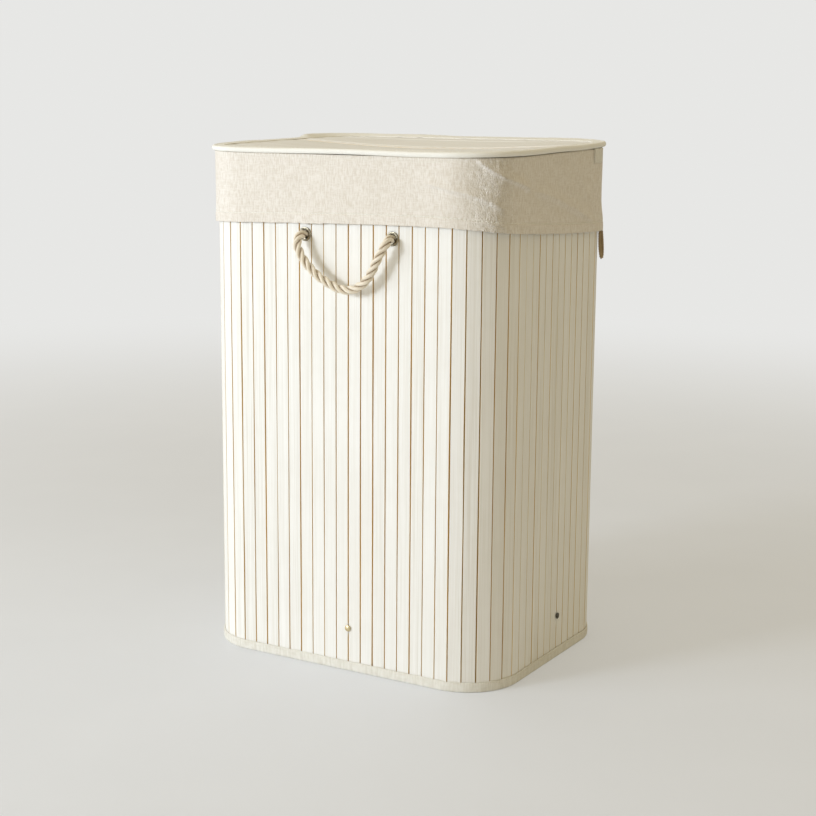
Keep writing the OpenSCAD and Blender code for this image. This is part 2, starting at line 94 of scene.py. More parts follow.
@dataclass(frozen=True)
class WallPlan:
    """Plan of the slatted wall, measured round its outer face from the middle of the front, anticlockwise."""

    width: float = 0.392
    depth: float = 0.306
    radius: float = 0.064
    height: float = 0.588
    slats: int = 79
    first_joint: float = 0.0122

    @property
    def front_run(self) -> float:
        """Straight run of the front."""
        return self.width - 2 * self.radius

    @property
    def side_run(self) -> float:
        """Straight run of a side."""
        return self.depth - 2 * self.radius

    @property
    def bend_run(self) -> float:
        """Length round one corner."""
        return math.pi / 2 * self.radius

    @property
    def perimeter(self) -> float:
        """Length once round the wall."""
        return 2 * (self.front_run + self.side_run) + 4 * self.bend_run

    @property
    def pitch(self) -> float:
        """Distance from one slat to the next."""
        return self.perimeter / self.slats

    @property
    def bends(self) -> tuple[float, float, float, float]:
        """Where each corner starts."""
        front, side, bend = self.front_run, self.side_run, self.bend_run
        return (
            front / 2,
            front / 2 + bend + side,
            front * 1.5 + 2 * bend + side,
            front * 1.5 + 3 * bend + 2 * side,
        )

    def heading(self, s: Values) -> Values:
        """Heading of the wall in radians at distances s round it, 0 along the front and growing from there."""
        s = np.mod(s, self.perimeter)
        return sum(np.clip((s - b) / self.bend_run, 0, 1) for b in self.bends) * math.pi / 2

    def place(self, s: Values, out: Values) -> Array:
        """Places of points beside the wall.

        Args:
            s: distances round the wall.
            out: distances out from the slats' outer face.

        Returns:
            Their x and y, in one array with a last axis of two.
        """
        turn = self.heading(s)
        s = np.mod(s, self.perimeter)
        ends = [b + self.bend_run for b in self.bends]
        x = (
            np.clip(s, 0, self.front_run / 2)
            - np.clip(s - ends[1], 0, self.front_run)
            + np.clip(s - ends[3], 0, self.front_run / 2)
        )
        y = np.clip(s - ends[0], 0, self.side_run) - self.side_run / 2 - np.clip(s - ends[2], 0, self.side_run)
        reach = self.radius + out
        return np.stack([x + reach * np.sin(turn), y - reach * np.cos(turn)], -1)

    def points(self, s: Values, out: Values, z: Values) -> Array:
        """Points at distances s round the wall, out from its outer face and at heights z."""
        flat = self.place(s, out)
        return np.concatenate([flat, np.broadcast_to(z, flat.shape[:-1])[..., None]], -1)

    def outward(self, s: Values) -> Array:
        """Unit vectors that point out from the wall at distances s round it."""
        turn = self.heading(s)
        return np.stack([np.sin(turn), -np.cos(turn), np.zeros_like(turn)], -1)

    def along(self, s: Values) -> Array:
        """Unit vectors along the wall at distances s round it."""
        turn = self.heading(s)
        return np.stack([np.cos(turn), np.sin(turn), np.zeros_like(turn)], -1)

    def beside(self, local: Array, s: float, z: float, out: float = 0.0) -> Array:
        """Stands points beside the wall.

        Args:
            local: points along the wall, out from it and up, on the last axis.
            s: distance round the wall of their origin.
            z: height of their origin.
            out: distance of their origin out from the slats' outer face.

        Returns:
            The points in the hamper's frame.
        """
        shifts = local[:, :1] * self.along(s), local[:, 1:2] * self.outward(s), local[:, 2:] * UP
        return self.points(s, out, z) + shifts[0] + shifts[1] + shifts[2]

    def joint_near(self, s: float) -> float:
        """Joint between two slats that is nearest to s."""
        return self.first_joint + round((s - self.first_joint) / self.pitch) * self.pitch

    @property
    def handle_joints(self) -> tuple[float, float]:
        """Joints in the middle of the front and of the back handle."""
        return self.first_joint, self.joint_near(self.perimeter / 2)

    @property
    def screw_joints(self) -> tuple[float, float, float, float]:
        """Joints with a screw: front, right, back and left."""
        side = self.bends[0] + self.bend_run + self.side_run / 2
        return (
            self.first_joint,
            self.joint_near(side + 16 * MM),
            self.joint_near(self.perimeter / 2),
            self.joint_near(self.perimeter - side),
        )


WALL = WallPlan()


@dataclass(frozen=True)
class LidPlane:
    """The plane that the closed lid lies on: it rises to the back from the front of the turned-over cuff."""

    front_y: float = -0.1568
    base_z: float = 0.588
    rise: float = math.radians(1.3)
    gap: float = 1.9 * MM

    def lift(self, points: Array) -> Array:
        """Places points of the level lid on the plane.

        Args:
            points: x, y and height over the lid's underside, on the last axis.

        Returns:
            Their places in the hamper's frame.
        """
        y, z = points[..., 1] - self.front_y, points[..., 2] + self.gap
        sin, cos = math.sin(self.rise), math.cos(self.rise)
        return np.stack([points[..., 0], self.front_y + y * cos - z * sin, self.base_z + y * sin + z * cos], -1)

    def height(self, y: Array) -> Array:
        """Height of the plane under the lid at y."""
        return self.base_z + (y - self.front_y) * math.tan(self.rise)


LID_PLANE = LidPlane()


class Ripples:
    """An uneven surface made of a few waves with fixed random headings, of mean zero and unit spread."""

    def __init__(self, seed: int, shortest: float, longest: float, upright: float = 1.0, count: int = 18) -> None:
        """Picks the waves.

        Args:
            seed: seed of the fixed random numbers.
            shortest: shortest wave in metres.
            longest: longest wave in metres.
            upright: how many times longer the waves are up and down than round the wall.
            count: number of waves.
        """
        rng = np.random.default_rng(seed)
        lengths = np.exp(rng.uniform(math.log(shortest), math.log(longest), count))
        headings = rng.uniform(0, 2 * math.pi, count)
        turns = np.round(WALL.perimeter / lengths * np.cos(headings))
        self.around = turns * 2 * math.pi / WALL.perimeter
        self.upward = 2 * math.pi / lengths * np.sin(headings) / upright
        self.phase = rng.uniform(0, 2 * math.pi, count)

    def __call__(self, u: Array, v: Array | float = 0.0) -> Array:
        """Height of the surface at u round the wall and v up it."""
        u, v = np.broadcast_arrays(np.asarray(u, float), np.asarray(v, float))
        waves = np.sin(u[..., None] * self.around + v[..., None] * self.upward + self.phase)
        return waves.sum(-1) * math.sqrt(2 / len(self.phase))


def smooth(value: Array, low: float, high: float) -> Array:
    """Goes smoothly from 0 at low to 1 at high."""
    t = np.clip((value - low) / (high - low), 0, 1)
    return t * t * (3 - 2 * t)


def bell(value: Array, middle: float, width: float | Array) -> Array:
    """Bell curve, 1 at its middle."""
    return np.exp(-(((value - middle) / width) ** 2))


# ---- making meshes


def select_only(*pieces: Piece) -> None:
    """Selects these pieces alone and makes the first one active."""
    if bpy.context.mode != "OBJECT":
        bpy.ops.object.mode_set(mode="OBJECT")
    bpy.ops.object.select_all(action="DESELECT")
    for piece in pieces:
        piece.select_set(True)
    bpy.context.view_layer.objects.active = pieces[0]


def start_piece(name: str) -> Piece:
    """Names the primitive that was just added and places it in its mesh.

    Args:
        name: the piece's name.

    Returns:
        The piece, its object at the origin.
    """
    piece = bpy.context.active_object
    piece.name = piece.data.name = name
    select_only(piece)
    bpy.ops.object.transform_apply(location=True, rotation=True, scale=True)
    return piece


def pick(piece: Piece, kind: str, test: Callable[..., bool]) -> None:
    """Leaves the piece in edit mode with the picked elements selected.

    Args:
        piece: the piece to edit.
        kind: VERT, EDGE or FACE.
        test: takes the ends of an edge, the point of a vertex, or the centre and normal of a face.
    """
    select_only(piece)
    bpy.ops.object.mode_set(mode="EDIT")
    bpy.ops.mesh.select_mode(type=kind)
    bpy.ops.mesh.select_all(action="DESELECT")
    bpy.ops.object.mode_set(mode="OBJECT")
    mesh = piece.data
    if kind == "EDGE":
        for edge in mesh.edges:
            edge.select = test(*(mesh.vertices[v].co for v in edge.vertices))
    elif kind == "FACE":
        for face in mesh.polygons:
            face.select = test(face.center, face.normal)
    else:
        for vertex in mesh.vertices:
            vertex.select = test(vertex.co)
    bpy.ops.object.mode_set(mode="EDIT")


def close_edit() -> None:
    """Goes back to object mode."""
    bpy.ops.object.mode_set(mode="OBJECT")


def modify(piece: Piece, kind: str, **settings: object) -> None:
    """Gives the piece a modifier with these settings and applies it."""
    modifier = piece.modifiers.new(kind.lower(), kind)
    for name, value in settings.items():
        setattr(modifier, name, value)
    select_only(piece)
    bpy.ops.object.modifier_apply(modifier=modifier.name)


def thicken(piece: Piece, thickness: float) -> None:
    """Gives a cloth its thickness, on the side away from its normals."""
    modify(piece, "SOLIDIFY", thickness=thickness, offset=-1)


def cut_away(piece: Piece, tool: Piece) -> None:
    """Cuts the tool's shape out of the piece and removes the tool."""
    modify(piece, "BOOLEAN", operation="DIFFERENCE", solver="EXACT", object=tool)
    bpy.data.objects.remove(tool)


def new_piece(name: str, points: Array, faces: Sequence[tuple[int, ...]]) -> Piece:
    """Makes a smooth piece from points and faces."""
    mesh = bpy.data.meshes.new(name)
    mesh.from_pydata(points.tolist(), [], faces)
    mesh.polygons.foreach_set("use_smooth", [True] * len(mesh.polygons))
    piece = bpy.data.objects.new(name, mesh)
    bpy.context.scene.collection.objects.link(piece)
    return piece


def joined(name: str, pieces: Sequence[Piece]) -> Piece:
    """Joins pieces into one.

    Args:
        name: the name of the whole.
        pieces: the pieces, which end as parts of the first.

    Returns:
        The whole.
    """
    select_only(*pieces)
    if len(pieces) > 1:
        bpy.ops.object.join()
    whole = bpy.context.view_layer.objects.active
    whole.name = whole.data.name = name
    return whole


def copy_piece(piece: Piece, name: str) -> Piece:
    """Copies a piece with its own mesh."""
    twin = piece.copy()
    twin.data = piece.data.copy()
    twin.name = twin.data.name = name
    bpy.context.scene.collection.objects.link(twin)
    return twin


def points_of(piece: Piece) -> Array:
    """The piece's vertices as an array."""
    flat = np.empty(len(piece.data.vertices) * 3)
    piece.data.vertices.foreach_get("co", flat)
    return flat.reshape(-1, 3)


def move_points(piece: Piece, points: Array) -> None:
    """Moves the piece's vertices to these points."""
    piece.data.vertices.foreach_set("co", points.ravel())
    piece.data.update()


def mark(piece: Piece, name: str, values: Array) -> None:
    """Keeps a number for each vertex under a name that materials read."""
    layer = piece.data.attributes.get(name) or piece.data.attributes.new(name, "FLOAT", "POINT")
    layer.data.foreach_set("value", np.ascontiguousarray(values, dtype=np.float32))


def shade(piece: Piece, angle: float = 35.0) -> None:
    """Shades the piece smooth, apart from edges sharper than the angle in degrees."""
    select_only(piece)
    bpy.ops.object.shade_smooth_by_angle(angle=math.radians(angle))


@dataclass
class Skin:
    """Surfaces given as grids of points, gathered into one mesh with a UV map in metres."""

    points: list[Array] = field(default_factory=list)
    faces: list[tuple[int, ...]] = field(default_factory=list)
    corners: list[Array] = field(default_factory=list)
    depths: list[Array] = field(default_factory=list)
    count: int = 0

    def add(
        self,
        grid: Array,
        uv: Array,
        closed_u: bool = False,
        closed_v: bool = False,
        capped: bool = False,
        depth: Array | float = 0.0,
    ) -> None:
        """Adds one surface.

        Args:
            grid: rows and columns of points. A step to the next row, then one to the next column, gives the outside by
                the right hand.
            uv: places on the cloth in metres, with one more row or column where the grid closes on itself.
            closed_u: the last row joins the first.
            closed_v: the last column joins the first.
            capped: the first and last rows are filled.
            depth: 0 to 1, how deep each point lies between strands, which the rope's finish paints as shade.
        """
        rows, columns = grid.shape[:2]
        self.depths.append(np.broadcast_to(depth, (rows, columns)).ravel())
        index = np.arange(rows * columns).reshape(rows, columns) + self.count
        i, j = np.meshgrid(
            np.arange(rows if closed_u else rows - 1), np.arange(columns if closed_v else columns - 1), indexing="ij"
        )
        next_i, next_j = (i + 1) % rows, (j + 1) % columns
        quads = np.stack([index[i, j], index[next_i, j], index[next_i, next_j], index[i, next_j]], -1)
        self.faces += [tuple(q) for q in quads.reshape(-1, 4).tolist()]
        self.corners.append(np.stack([uv[i, j], uv[i + 1, j], uv[i + 1, j + 1], uv[i, j + 1]], 2).reshape(-1, 2))
        if capped:
            self.faces += [tuple(index[0, ::-1].tolist()), tuple(index[-1].tolist())]
            self.corners += [uv[0, :columns][::-1], uv[rows - 1, :columns]]
        self.points.append(grid.reshape(-1, 3))
        self.count += rows * columns

    def piece(self, name: str) -> Piece:
        """Makes the piece, shaded smooth."""
        piece = new_piece(name, np.concatenate(self.points), self.faces)
        layer = piece.data.uv_layers.new(name="UVMap")
        layer.data.foreach_set("uv", np.concatenate(self.corners).astype(np.float32).ravel())
        piece.data.validate()
        # The depth between strands drives painted shade in the rope's finish.
        if any(depth.any() for depth in self.depths):
            mark(piece, "depth", np.concatenate(self.depths))
        return piece


def once_round(columns: int) -> Array:
    """Even distances once round the wall."""
    return np.arange(columns) / columns * WALL.perimeter


def wrapped_uv(s: Array, lengths: Array) -> Array:
    """Cloth places in metres for a surface once round the wall, with one row more than s for the seam."""
    u, v = np.meshgrid(np.append(s, WALL.perimeter), lengths, indexing="ij")
    return np.stack([u, v], -1)


def run_lengths(points: Array) -> Array:
    """Distance of each point along a line of points."""
    return np.concatenate([[0.0], np.cumsum(np.linalg.norm(np.diff(points, axis=0), axis=1))])


def smooth_line(points: Array, step: float) -> Array:
    """A smooth curve through points.

    Args:
        points: the points that the curve passes.
        step: distance from one point of the curve to the next.

    Returns:
        Evenly spaced points of the curve.
    """
    padded = np.vstack([points[:1], points, points[-1:]])
    t = np.linspace(0, 1, 24, endpoint=False)[:, None]
    parts = []
    for p0, p1, p2, p3 in zip(padded, padded[1:], padded[2:], padded[3:]):
        parts.append(
            0.5 * (2 * p1 + (p2 - p0) * t + (2 * p0 - 5 * p1 + 4 * p2 - p3) * t**2 + (3 * p1 - p0 - 3 * p2 + p3) * t**3)
        )
    curve = np.vstack(parts + [points[-1:]])
    at = run_lengths(curve)
    even = np.linspace(0, at[-1], max(2, round(at[-1] / step) + 1))
    return np.stack([np.interp(even, at, curve[:, k]) for k in range(3)], -1)


def travelling_frame(line: Array) -> tuple[Array, Array]:
    """Two directions square to a line that turn as little as they can along it.

    Args:
        line: points along the line.

    Returns:
        The two directions at each point.
    """
    heading = np.gradient(line, axis=0)
    heading /= np.linalg.norm(heading, axis=1)[:, None]
    side = np.empty_like(line)
    start = np.cross(heading[0], [0.12, 0.31, 0.94])
    for i, h in enumerate(heading):
        start = start - h * (start @ h)
        start /= np.linalg.norm(start)
        side[i] = start
    return side, np.cross(heading, side)


@dataclass(frozen=True)
class TwistedCord:
    """A laid cord: strands that twist round one another along a line."""

    diameter: float
    lay: float
    strands: int = 3
    sides: int = 10
    step: float = 0.8 * MM

    def wind(self, skin: Skin, line: Array, fray: float = 0.0, swell: float = 0.0) -> None:
        """Adds the strands along a line.

        Args:
            skin: the mesh in the making.
            line: evenly spaced points of the cord's middle.
            fray: how far the strands spread at the line's end.
            swell: how much thicker the cord is away from its ends.
        """
        side, up = travelling_frame(line)
        at = run_lengths(line)
        share = 1 / math.sin(math.pi / self.strands)
        free = smooth(np.minimum(at, at[-1] - at), 5 * MM, 14 * MM)
        radius = self.diameter / 2 / (1 + share) * (1 + swell * free)
        offset = radius * share * (1 + fray * smooth(at, at[-1] * 0.55, at[-1]))
        turn = -np.arange(self.sides) / self.sides * 2 * math.pi
        for strand in range(self.strands):
            twist = 2 * math.pi * (at / self.lay + strand / self.strands)
            centre = line + offset[:, None] * (np.cos(twist)[:, None] * side + np.sin(twist)[:, None] * up)
            spoke = turn[None, :] + twist[:, None]
            grid = centre[:, None, :] + radius[:, None, None] * 1.06 * (
                np.cos(spoke)[..., None] * side[:, None, :] + np.sin(spoke)[..., None] * up[:, None, :]
            )
            across = np.append(-turn, 2 * math.pi) * radius.mean()
            u, v = np.meshgrid(at, across, indexing="ij")
            # Painted shade mask: how deep each point lies between the strands.
            reach = np.linalg.norm(grid - line[:, None, :], axis=-1) / (offset + radius)[:, None]
            groove_shade = 1 - smooth(reach, 0.6, 0.8)
            skin.add(grid, np.stack([v, u + strand * 0.37], -1), closed_v=True, capped=True, depth=groove_shade)


@dataclass(frozen=True)
class Stitching:
    """Rows of thread stitches of one length."""

    length: float = 3.2 * MM
    thread: float = 0.75 * MM
    sink: float = 0.55 * MM
    slant: float = 0.07
    seed: int = 3

    def stitch(self) -> tuple[Array, list[tuple[int, ...]]]:
        """Models one stitch along X, its ends sunk in the cloth below z = 0.

        Returns:
            Its points and faces.
        """
        bpy.ops.mesh.primitive_cylinder_add(
            vertices=6, radius=self.thread / 2, depth=self.length, rotation=(0, math.pi / 2, 0), end_fill_type="NGON"
        )
        piece = start_piece("stitch")
        pick(piece, "EDGE", lambda a, b: abs(a.x - b.x) > self.length / 2)
        bpy.ops.mesh.subdivide(number_cuts=3)
        close_edit()
        points = points_of(piece)
        bow = (2 * points[:, 0] / self.length) ** 2
        points[:, 2] += self.thread * 0.22 - self.sink * bow
        points[:, 1] *= 1 - 0.25 * bow
        faces = [tuple(face.vertices) for face in piece.data.polygons]
        bpy.data.objects.remove(piece)
        return points, faces

    def sew(
        self, name: str, at: Array, along: Array, out: Array, thread: "Finish", body: Body, slot: Slot
    ) -> None:
        """Sews a row and hangs it on its body.

        Args:
            name: the piece's name.
            at: middles of the stitches.
            along: unit vectors along the row.
            out: unit vectors out from the cloth.
            thread: the thread's finish.
            body: the body that the row moves with.
            slot: the record's material slot of the cloth.
        """
        points, faces = self.stitch()
        slant = np.random.default_rng(self.seed).normal(0, self.slant, len(at))[:, None]
        across = np.cross(out, along)
        along = along + across * slant
        across = across - along * slant
        placed = (
            at[:, None, :]
            + points[None, :, :1] * along[:, None, :]
            + points[None, :, 1:2] * across[:, None, :]
            + points[None, :, 2:] * out[:, None, :]
        )
        every = [tuple(v + k * len(points) for v in face) for k in range(len(at)) for face in faces]
        row = new_piece(name, placed.reshape(-1, 3), every)
        thread.dress(row)
        attach(row, body, slot)


def attach(piece: Piece, body: Body, slot: Slot, *nodes: str) -> None:
    """Hangs a finished piece on its body.

    Args:
        piece: the piece, in place.
        body: the body that it moves with.
        slot: the record's material slot; not used.
        nodes: the plain solids that it stands for.
    """
    if nodes:
        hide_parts(*nodes)
    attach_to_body(piece, body.value)
    LOG.info("%s rides on %s, %d faces", piece.name, body.value, len(piece.data.polygons))


# ---- finishes


def paint(red: int, green: int, blue: int) -> tuple[float, float, float, float]:
    """A colour given as it looks on a screen, 0 to 255, as the shaders take it."""
    linear = [((c / 255 + 0.055) / 1.055) ** 2.4 if c > 10 else c / 255 / 12.92 for c in (red, green, blue)]
    return linear[0], linear[1], linear[2], 1.0


Socket = bpy.types.NodeSocket


class Bench:
    """Adds nodes to one tree and joins their sockets."""

    def __init__(self, tree: bpy.types.NodeTree) -> None:
        """Works on the tree."""
        self.tree = tree

    def first(self, kind: str) -> bpy.types.Node:
        """The tree's first node of a type."""
        return next(node for node in self.tree.nodes if node.type == kind)

    def feed(self, node: bpy.types.Node, inputs: dict) -> None:
        """Gives a node's inputs, by name or number, their values or sockets."""
        for key, value in inputs.items():
            if isinstance(value, Socket):
                self.tree.links.new(value, node.inputs[key])
            else:
                node.inputs[key].default_value = value

    def add(self, kind: str, inputs: dict | None = None, **settings: object) -> bpy.types.Node:
        """Adds a node.

        Args:
            kind: the node's type without its first words.
            inputs: values or sockets for its inputs, by name or number.
            settings: the node's own settings.

        Returns:
            The node.
        """
        node = self.tree.nodes.new("ShaderNode" + kind)
        for key, value in settings.items():
            setattr(node, key, value)
        self.feed(node, inputs or {})
        return node

    def group(self, tree: bpy.types.NodeTree, **inputs: object) -> bpy.types.bpy_prop_collection:
        """Places a shared group and returns its outputs."""
        return self.add("Group", inputs, node_tree=tree).outputs

    def sum(self, operation: str, a: Socket | float, b: Socket | float = 0.0, c: Socket | float = 0.0) -> Socket:
        """Result of a sum on two or three numbers."""
        return self.add("Math", {0: a, 1: b, 2: c}, operation=operation).outputs[0]

    def times(self, a: Socket | float, b: Socket | float) -> Socket:
        """Product of two numbers."""
        return self.sum("MULTIPLY", a, b)

    def plus(self, a: Socket | float, b: Socket | float) -> Socket:
        """Two numbers added."""
        return self.sum("ADD", a, b)

    def fit(self, value: Socket, low: float, high: float, to_low: float = 0.0, to_high: float = 1.0) -> Socket:
        """Maps a value from one range to another, smoothly and within it."""
        inputs = {0: value, 1: low, 2: high, 3: to_low, 4: to_high}
        return self.add("MapRange", inputs, interpolation_type="SMOOTHSTEP").outputs[0]

    def mix(self, share: Socket | float, a: Socket | tuple, b: Socket | tuple) -> Socket:
        """Mixes two colours."""
        return self.add("Mix", {0: share, 6: a, 7: b}, data_type="RGBA").outputs[2]

    def scaled(self, vector: Socket, scale: Socket | tuple[float, float, float]) -> Socket:
        """Vector times a scale for each axis."""
        return self.add("VectorMath", {0: vector, 1: scale}, operation="MULTIPLY").outputs[0]

    def grown(self, vector: Socket, scale: Socket) -> Socket:
        """Vector times one scale."""
        return self.add("VectorMath", {0: vector, "Scale": scale}, operation="SCALE").outputs[0]

    def noise(self, vector: Socket, scale: float, detail: float = 2.0, roughness: float = 0.5) -> Socket:
        """Noise from 0 to 1."""
        inputs = {"Vector": vector, "Scale": scale, "Detail": detail, "Roughness": roughness}
        return self.add("TexNoise", inputs).outputs[0]

    def attribute(self, name: str) -> Socket:
        """Number that a piece's vertices keep under a name."""
        return self.add("Attribute", attribute_name=name).outputs["Fac"]

    def bump(self, height: Socket, strength: float, distance: float, onto: Socket | None = None) -> Socket:
        """Normal for a height."""
        inputs = {"Height": height, "Strength": strength, "Distance": distance}
        if onto is not None:
            inputs["Normal"] = onto
        return self.add("Bump", inputs).outputs[0]


GROUPS: dict[str, bpy.types.NodeTree] = {}


def shared_group(
    name: str,
    inputs: Iterable[tuple[str, str, object]],
    outputs: Iterable[str],
    wire: Callable[[Bench, dict[str, Socket]], dict[str, Socket]],
) -> bpy.types.NodeTree:
    """Builds a shared group once.

    Args:
        name: the group's name.
        inputs: name, kind and usual value of each input.
        outputs: names of the outputs, which are plain numbers.
        wire: makes the nodes and returns a socket for each output.

    Returns:
        The group.
    """
    if name in GROUPS:
        return GROUPS[name]
    tree = bpy.data.node_groups.new(name, "ShaderNodeTree")
    for label, kind, value in inputs:
        socket = tree.interface.new_socket(label, in_out="INPUT", socket_type="NodeSocket" + kind)
        if value is not None:
            socket.default_value = value
    for label in outputs:
        tree.interface.new_socket(label, in_out="OUTPUT", socket_type="NodeSocketFloat")
    enter = tree.nodes.new("NodeGroupInput")
    leave = tree.nodes.new("NodeGroupOutput")
    results = wire(Bench(tree), {socket.name: socket for socket in enter.outputs if socket.name})
    for label, socket in results.items():
        tree.links.new(socket, leave.inputs[label])
    GROUPS[name] = tree
    return tree


def weave() -> bpy.types.NodeTree:
    """Plain weave with uneven threads, on places in metres; its tone holds painted shade between the threads."""

    def wire(bench: Bench, enter: dict[str, Socket]) -> dict[str, Socket]:
        """Lays the group's nodes."""
        counted = bench.grown(enter["Place"], enter["Threads"])
        parts = bench.add("SeparateXYZ", {0: counted}).outputs

        def thread(across: Socket, onward: Socket, shift: float) -> Socket:
            """Height of the threads that run one way."""
            ridge = bench.sum("ABSOLUTE", bench.sum("SINE", bench.times(across, math.pi)))
            parity = bench.plus(bench.plus(onward, bench.sum("FLOOR", across)), shift)
            over = bench.sum("COSINE", bench.times(parity, math.pi))
            return bench.times(ridge, bench.sum("MULTIPLY_ADD", over, 0.5, 0.5))

        height = bench.sum("MAXIMUM", thread(parts[0], parts[1], 0.0), thread(parts[1], parts[0], 1.0))
        upright = bench.noise(bench.scaled(counted, (0.5, 0.09, 0.0)), 1.0, 3.0, 0.6)
        level = bench.noise(bench.scaled(counted, (0.1, 0.5, 0.0)), 1.0, 3.0, 0.6)
        slub = bench.fit(bench.plus(bench.times(upright, 0.68), bench.times(level, 0.32)), 0.36, 0.64)
        tone = bench.sum("MULTIPLY_ADD", bench.sum("SUBTRACT", slub, 0.5), enter["Slub"], 0.5)
        # Painted shade: the threads' height is added to the tone, so crowns are lighter and the hollows between threads
        # darker.
        tone = bench.sum("MULTIPLY_ADD", height, 0.25, tone)
        return {"Height": bench.sum("MULTIPLY_ADD", slub, enter["Slub"], height), "Tone": tone}

    inputs = [("Place", "Vector", None), ("Threads", "Float", 1100.0), ("Slub", "Float", 0.6)]
    return shared_group("weave", inputs, ["Height", "Tone"], wire)


def grain() -> bpy.types.NodeTree:
    """Long fibres of split bamboo or wood."""

    def wire(bench: Bench, enter: dict[str, Socket]) -> dict[str, Socket]:
        """Lays the group's nodes."""
        place = bench.scaled(enter["Place"], enter["Scale"])
        fine = bench.noise(place, 1.0, 4.0, 0.62)
        broad = bench.noise(bench.scaled(place, (0.23, 0.4, 0.23)), 1.0, 2.0, 0.5)
        streaks = bench.fit(bench.plus(bench.times(fine, 0.65), bench.times(broad, 0.35)), 0.4, 0.66)
        return {"Streaks": streaks, "Height": fine}

    inputs = [("Place", "Vector", None), ("Scale", "Vector", (900.0, 9.0, 900.0))]
    return shared_group("grain", inputs, ["Streaks", "Height"], wire)


def mottle() -> bpy.types.NodeTree:
    """Soft patches of handling and dust."""

    def wire(bench: Bench, enter: dict[str, Socket]) -> dict[str, Socket]:
        """Lays the group's nodes."""
        place = bench.grown(enter["Place"], enter["Patches"])
        large = bench.noise(place, 1.0, 3.0, 0.55)
        small = bench.noise(place, 5.3, 2.0, 0.5)
        return {"Mask": bench.fit(bench.sum("MULTIPLY_ADD", small, 0.3, bench.times(large, 0.7)), 0.36, 0.64)}

    return shared_group("mottle", [("Place", "Vector", None), ("Patches", "Float", 12.0)], ["Mask"], wire)


def edge_wear() -> bpy.types.NodeTree:
    """Turns a soft edge mask into broken wear."""

    def wire(bench: Bench, enter: dict[str, Socket]) -> dict[str, Socket]:
        """Lays the group's nodes."""
        broken = bench.noise(bench.scaled(enter["Place"], (700.0, 120.0, 120.0)), 1.0, 3.0, 0.6)
        pushed = bench.plus(enter["Edge"], bench.times(bench.sum("SUBTRACT", broken, 0.5), enter["Break"]))
        return {"Mask": bench.fit(pushed, 0.3, 0.75)}

    inputs = [("Place", "Vector", None), ("Edge", "Float", 0.0), ("Break", "Float", 0.8)]
    return shared_group("edge wear", inputs, ["Mask"], wire)


@dataclass(frozen=True)
class Finish:
    """A procedural finish. Each kind lays its own nodes."""

    name: str
    roughness: float = 0.75

    def lay(self, bench: Bench, shader: bpy.types.Node) -> None:
        """Joins the finish's nodes to the shader."""
        raise NotImplementedError

    def place(self, bench: Bench, source: str = "Object") -> Socket:
        """Places on the surface, from the object or the UV map."""
        return bench.add("TexCoord").outputs[source]

    def material(self) -> bpy.types.Material:
        """Returns the finish's material, which is built once."""
        made = bpy.data.materials.get(self.name)
        if made is None:
            made = bpy.data.materials.new(self.name)
            made.use_nodes = True
            bench = Bench(made.node_tree)
            shader = bench.first("BSDF_PRINCIPLED")
            bench.feed(shader, {"Roughness": self.roughness})
            self.lay(bench, shader)
        return made

    def dress(self, *pieces: Piece) -> None:
        """Gives pieces this finish all over."""
        for piece in pieces:
            piece.data.materials.clear()
            piece.data.materials.append(self.material())

    def dress_nodes(self, *names: str) -> None:
        """Gives plain solids that stay in view this finish."""
        for name in names:
            for slot in frame["nodes"][name].material_slots:
                slot.material = self.material()


@dataclass(frozen=True)
class PaintedBamboo(Finish):
    """White-washed bamboo, with fibres that show through and raw sides."""

    coat: tuple = paint(247, 246, 242)
    thin: tuple = paint(226, 222, 211)
    raw: tuple = paint(240, 212, 138)
    dark: tuple = paint(204, 166, 96)

    def lay(self, bench: Bench, shader: bpy.types.Node) -> None:
        """Joins the finish's nodes to the shader."""
        place = self.place(bench, "UV")
        fibres = bench.group(grain(), Place=place, Scale=(1150.0, 7.0, 0.0))
        patches = bench.group(mottle(), Place=self.place(bench), Patches=9.0)
        tone, side = bench.attribute("tone"), bench.attribute("raw")
        washed = bench.times(fibres["Streaks"], bench.sum("MULTIPLY_ADD", tone, 0.5, 0.3))
        colour = bench.mix(washed, self.coat, self.thin)
        colour = bench.mix(bench.times(patches["Mask"], 0.16), colour, self.thin)
        worn = bench.group(edge_wear(), Place=place, Edge=side, Break=0.7)["Mask"]
        bare = bench.mix(fibres["Streaks"], self.raw, self.dark)
        bench.feed(shader, {
            "Base Color": bench.mix(worn, colour, bare),
            "Normal": bench.bump(fibres["Height"], 0.35, 0.25 * MM),
            "Roughness": bench.fit(fibres["Streaks"], 0.0, 1.0, self.roughness - 0.06, self.roughness + 0.1),
        })


@dataclass(frozen=True)
class Timber(Finish):
    """Bare bamboo lath or board, its fibres along one axis of the object."""

    light: tuple = paint(214, 184, 132)
    dark: tuple = paint(166, 126, 76)
    scale: tuple = (14.0, 14.0, 900.0)

    def lay(self, bench: Bench, shader: bpy.types.Node) -> None:
        """Joins the finish's nodes to the shader."""
        place = self.place(bench)
        fibres = bench.group(grain(), Place=place, Scale=self.scale)
        patches = bench.group(mottle(), Place=place, Patches=14.0)
        colour = bench.mix(bench.times(fibres["Streaks"], 0.75), self.light, self.dark)
        bench.feed(shader, {
            "Base Color": bench.mix(bench.times(patches["Mask"], 0.25), colour, self.dark),
            "Normal": bench.bump(fibres["Height"], 0.3, 0.3 * MM),
        })


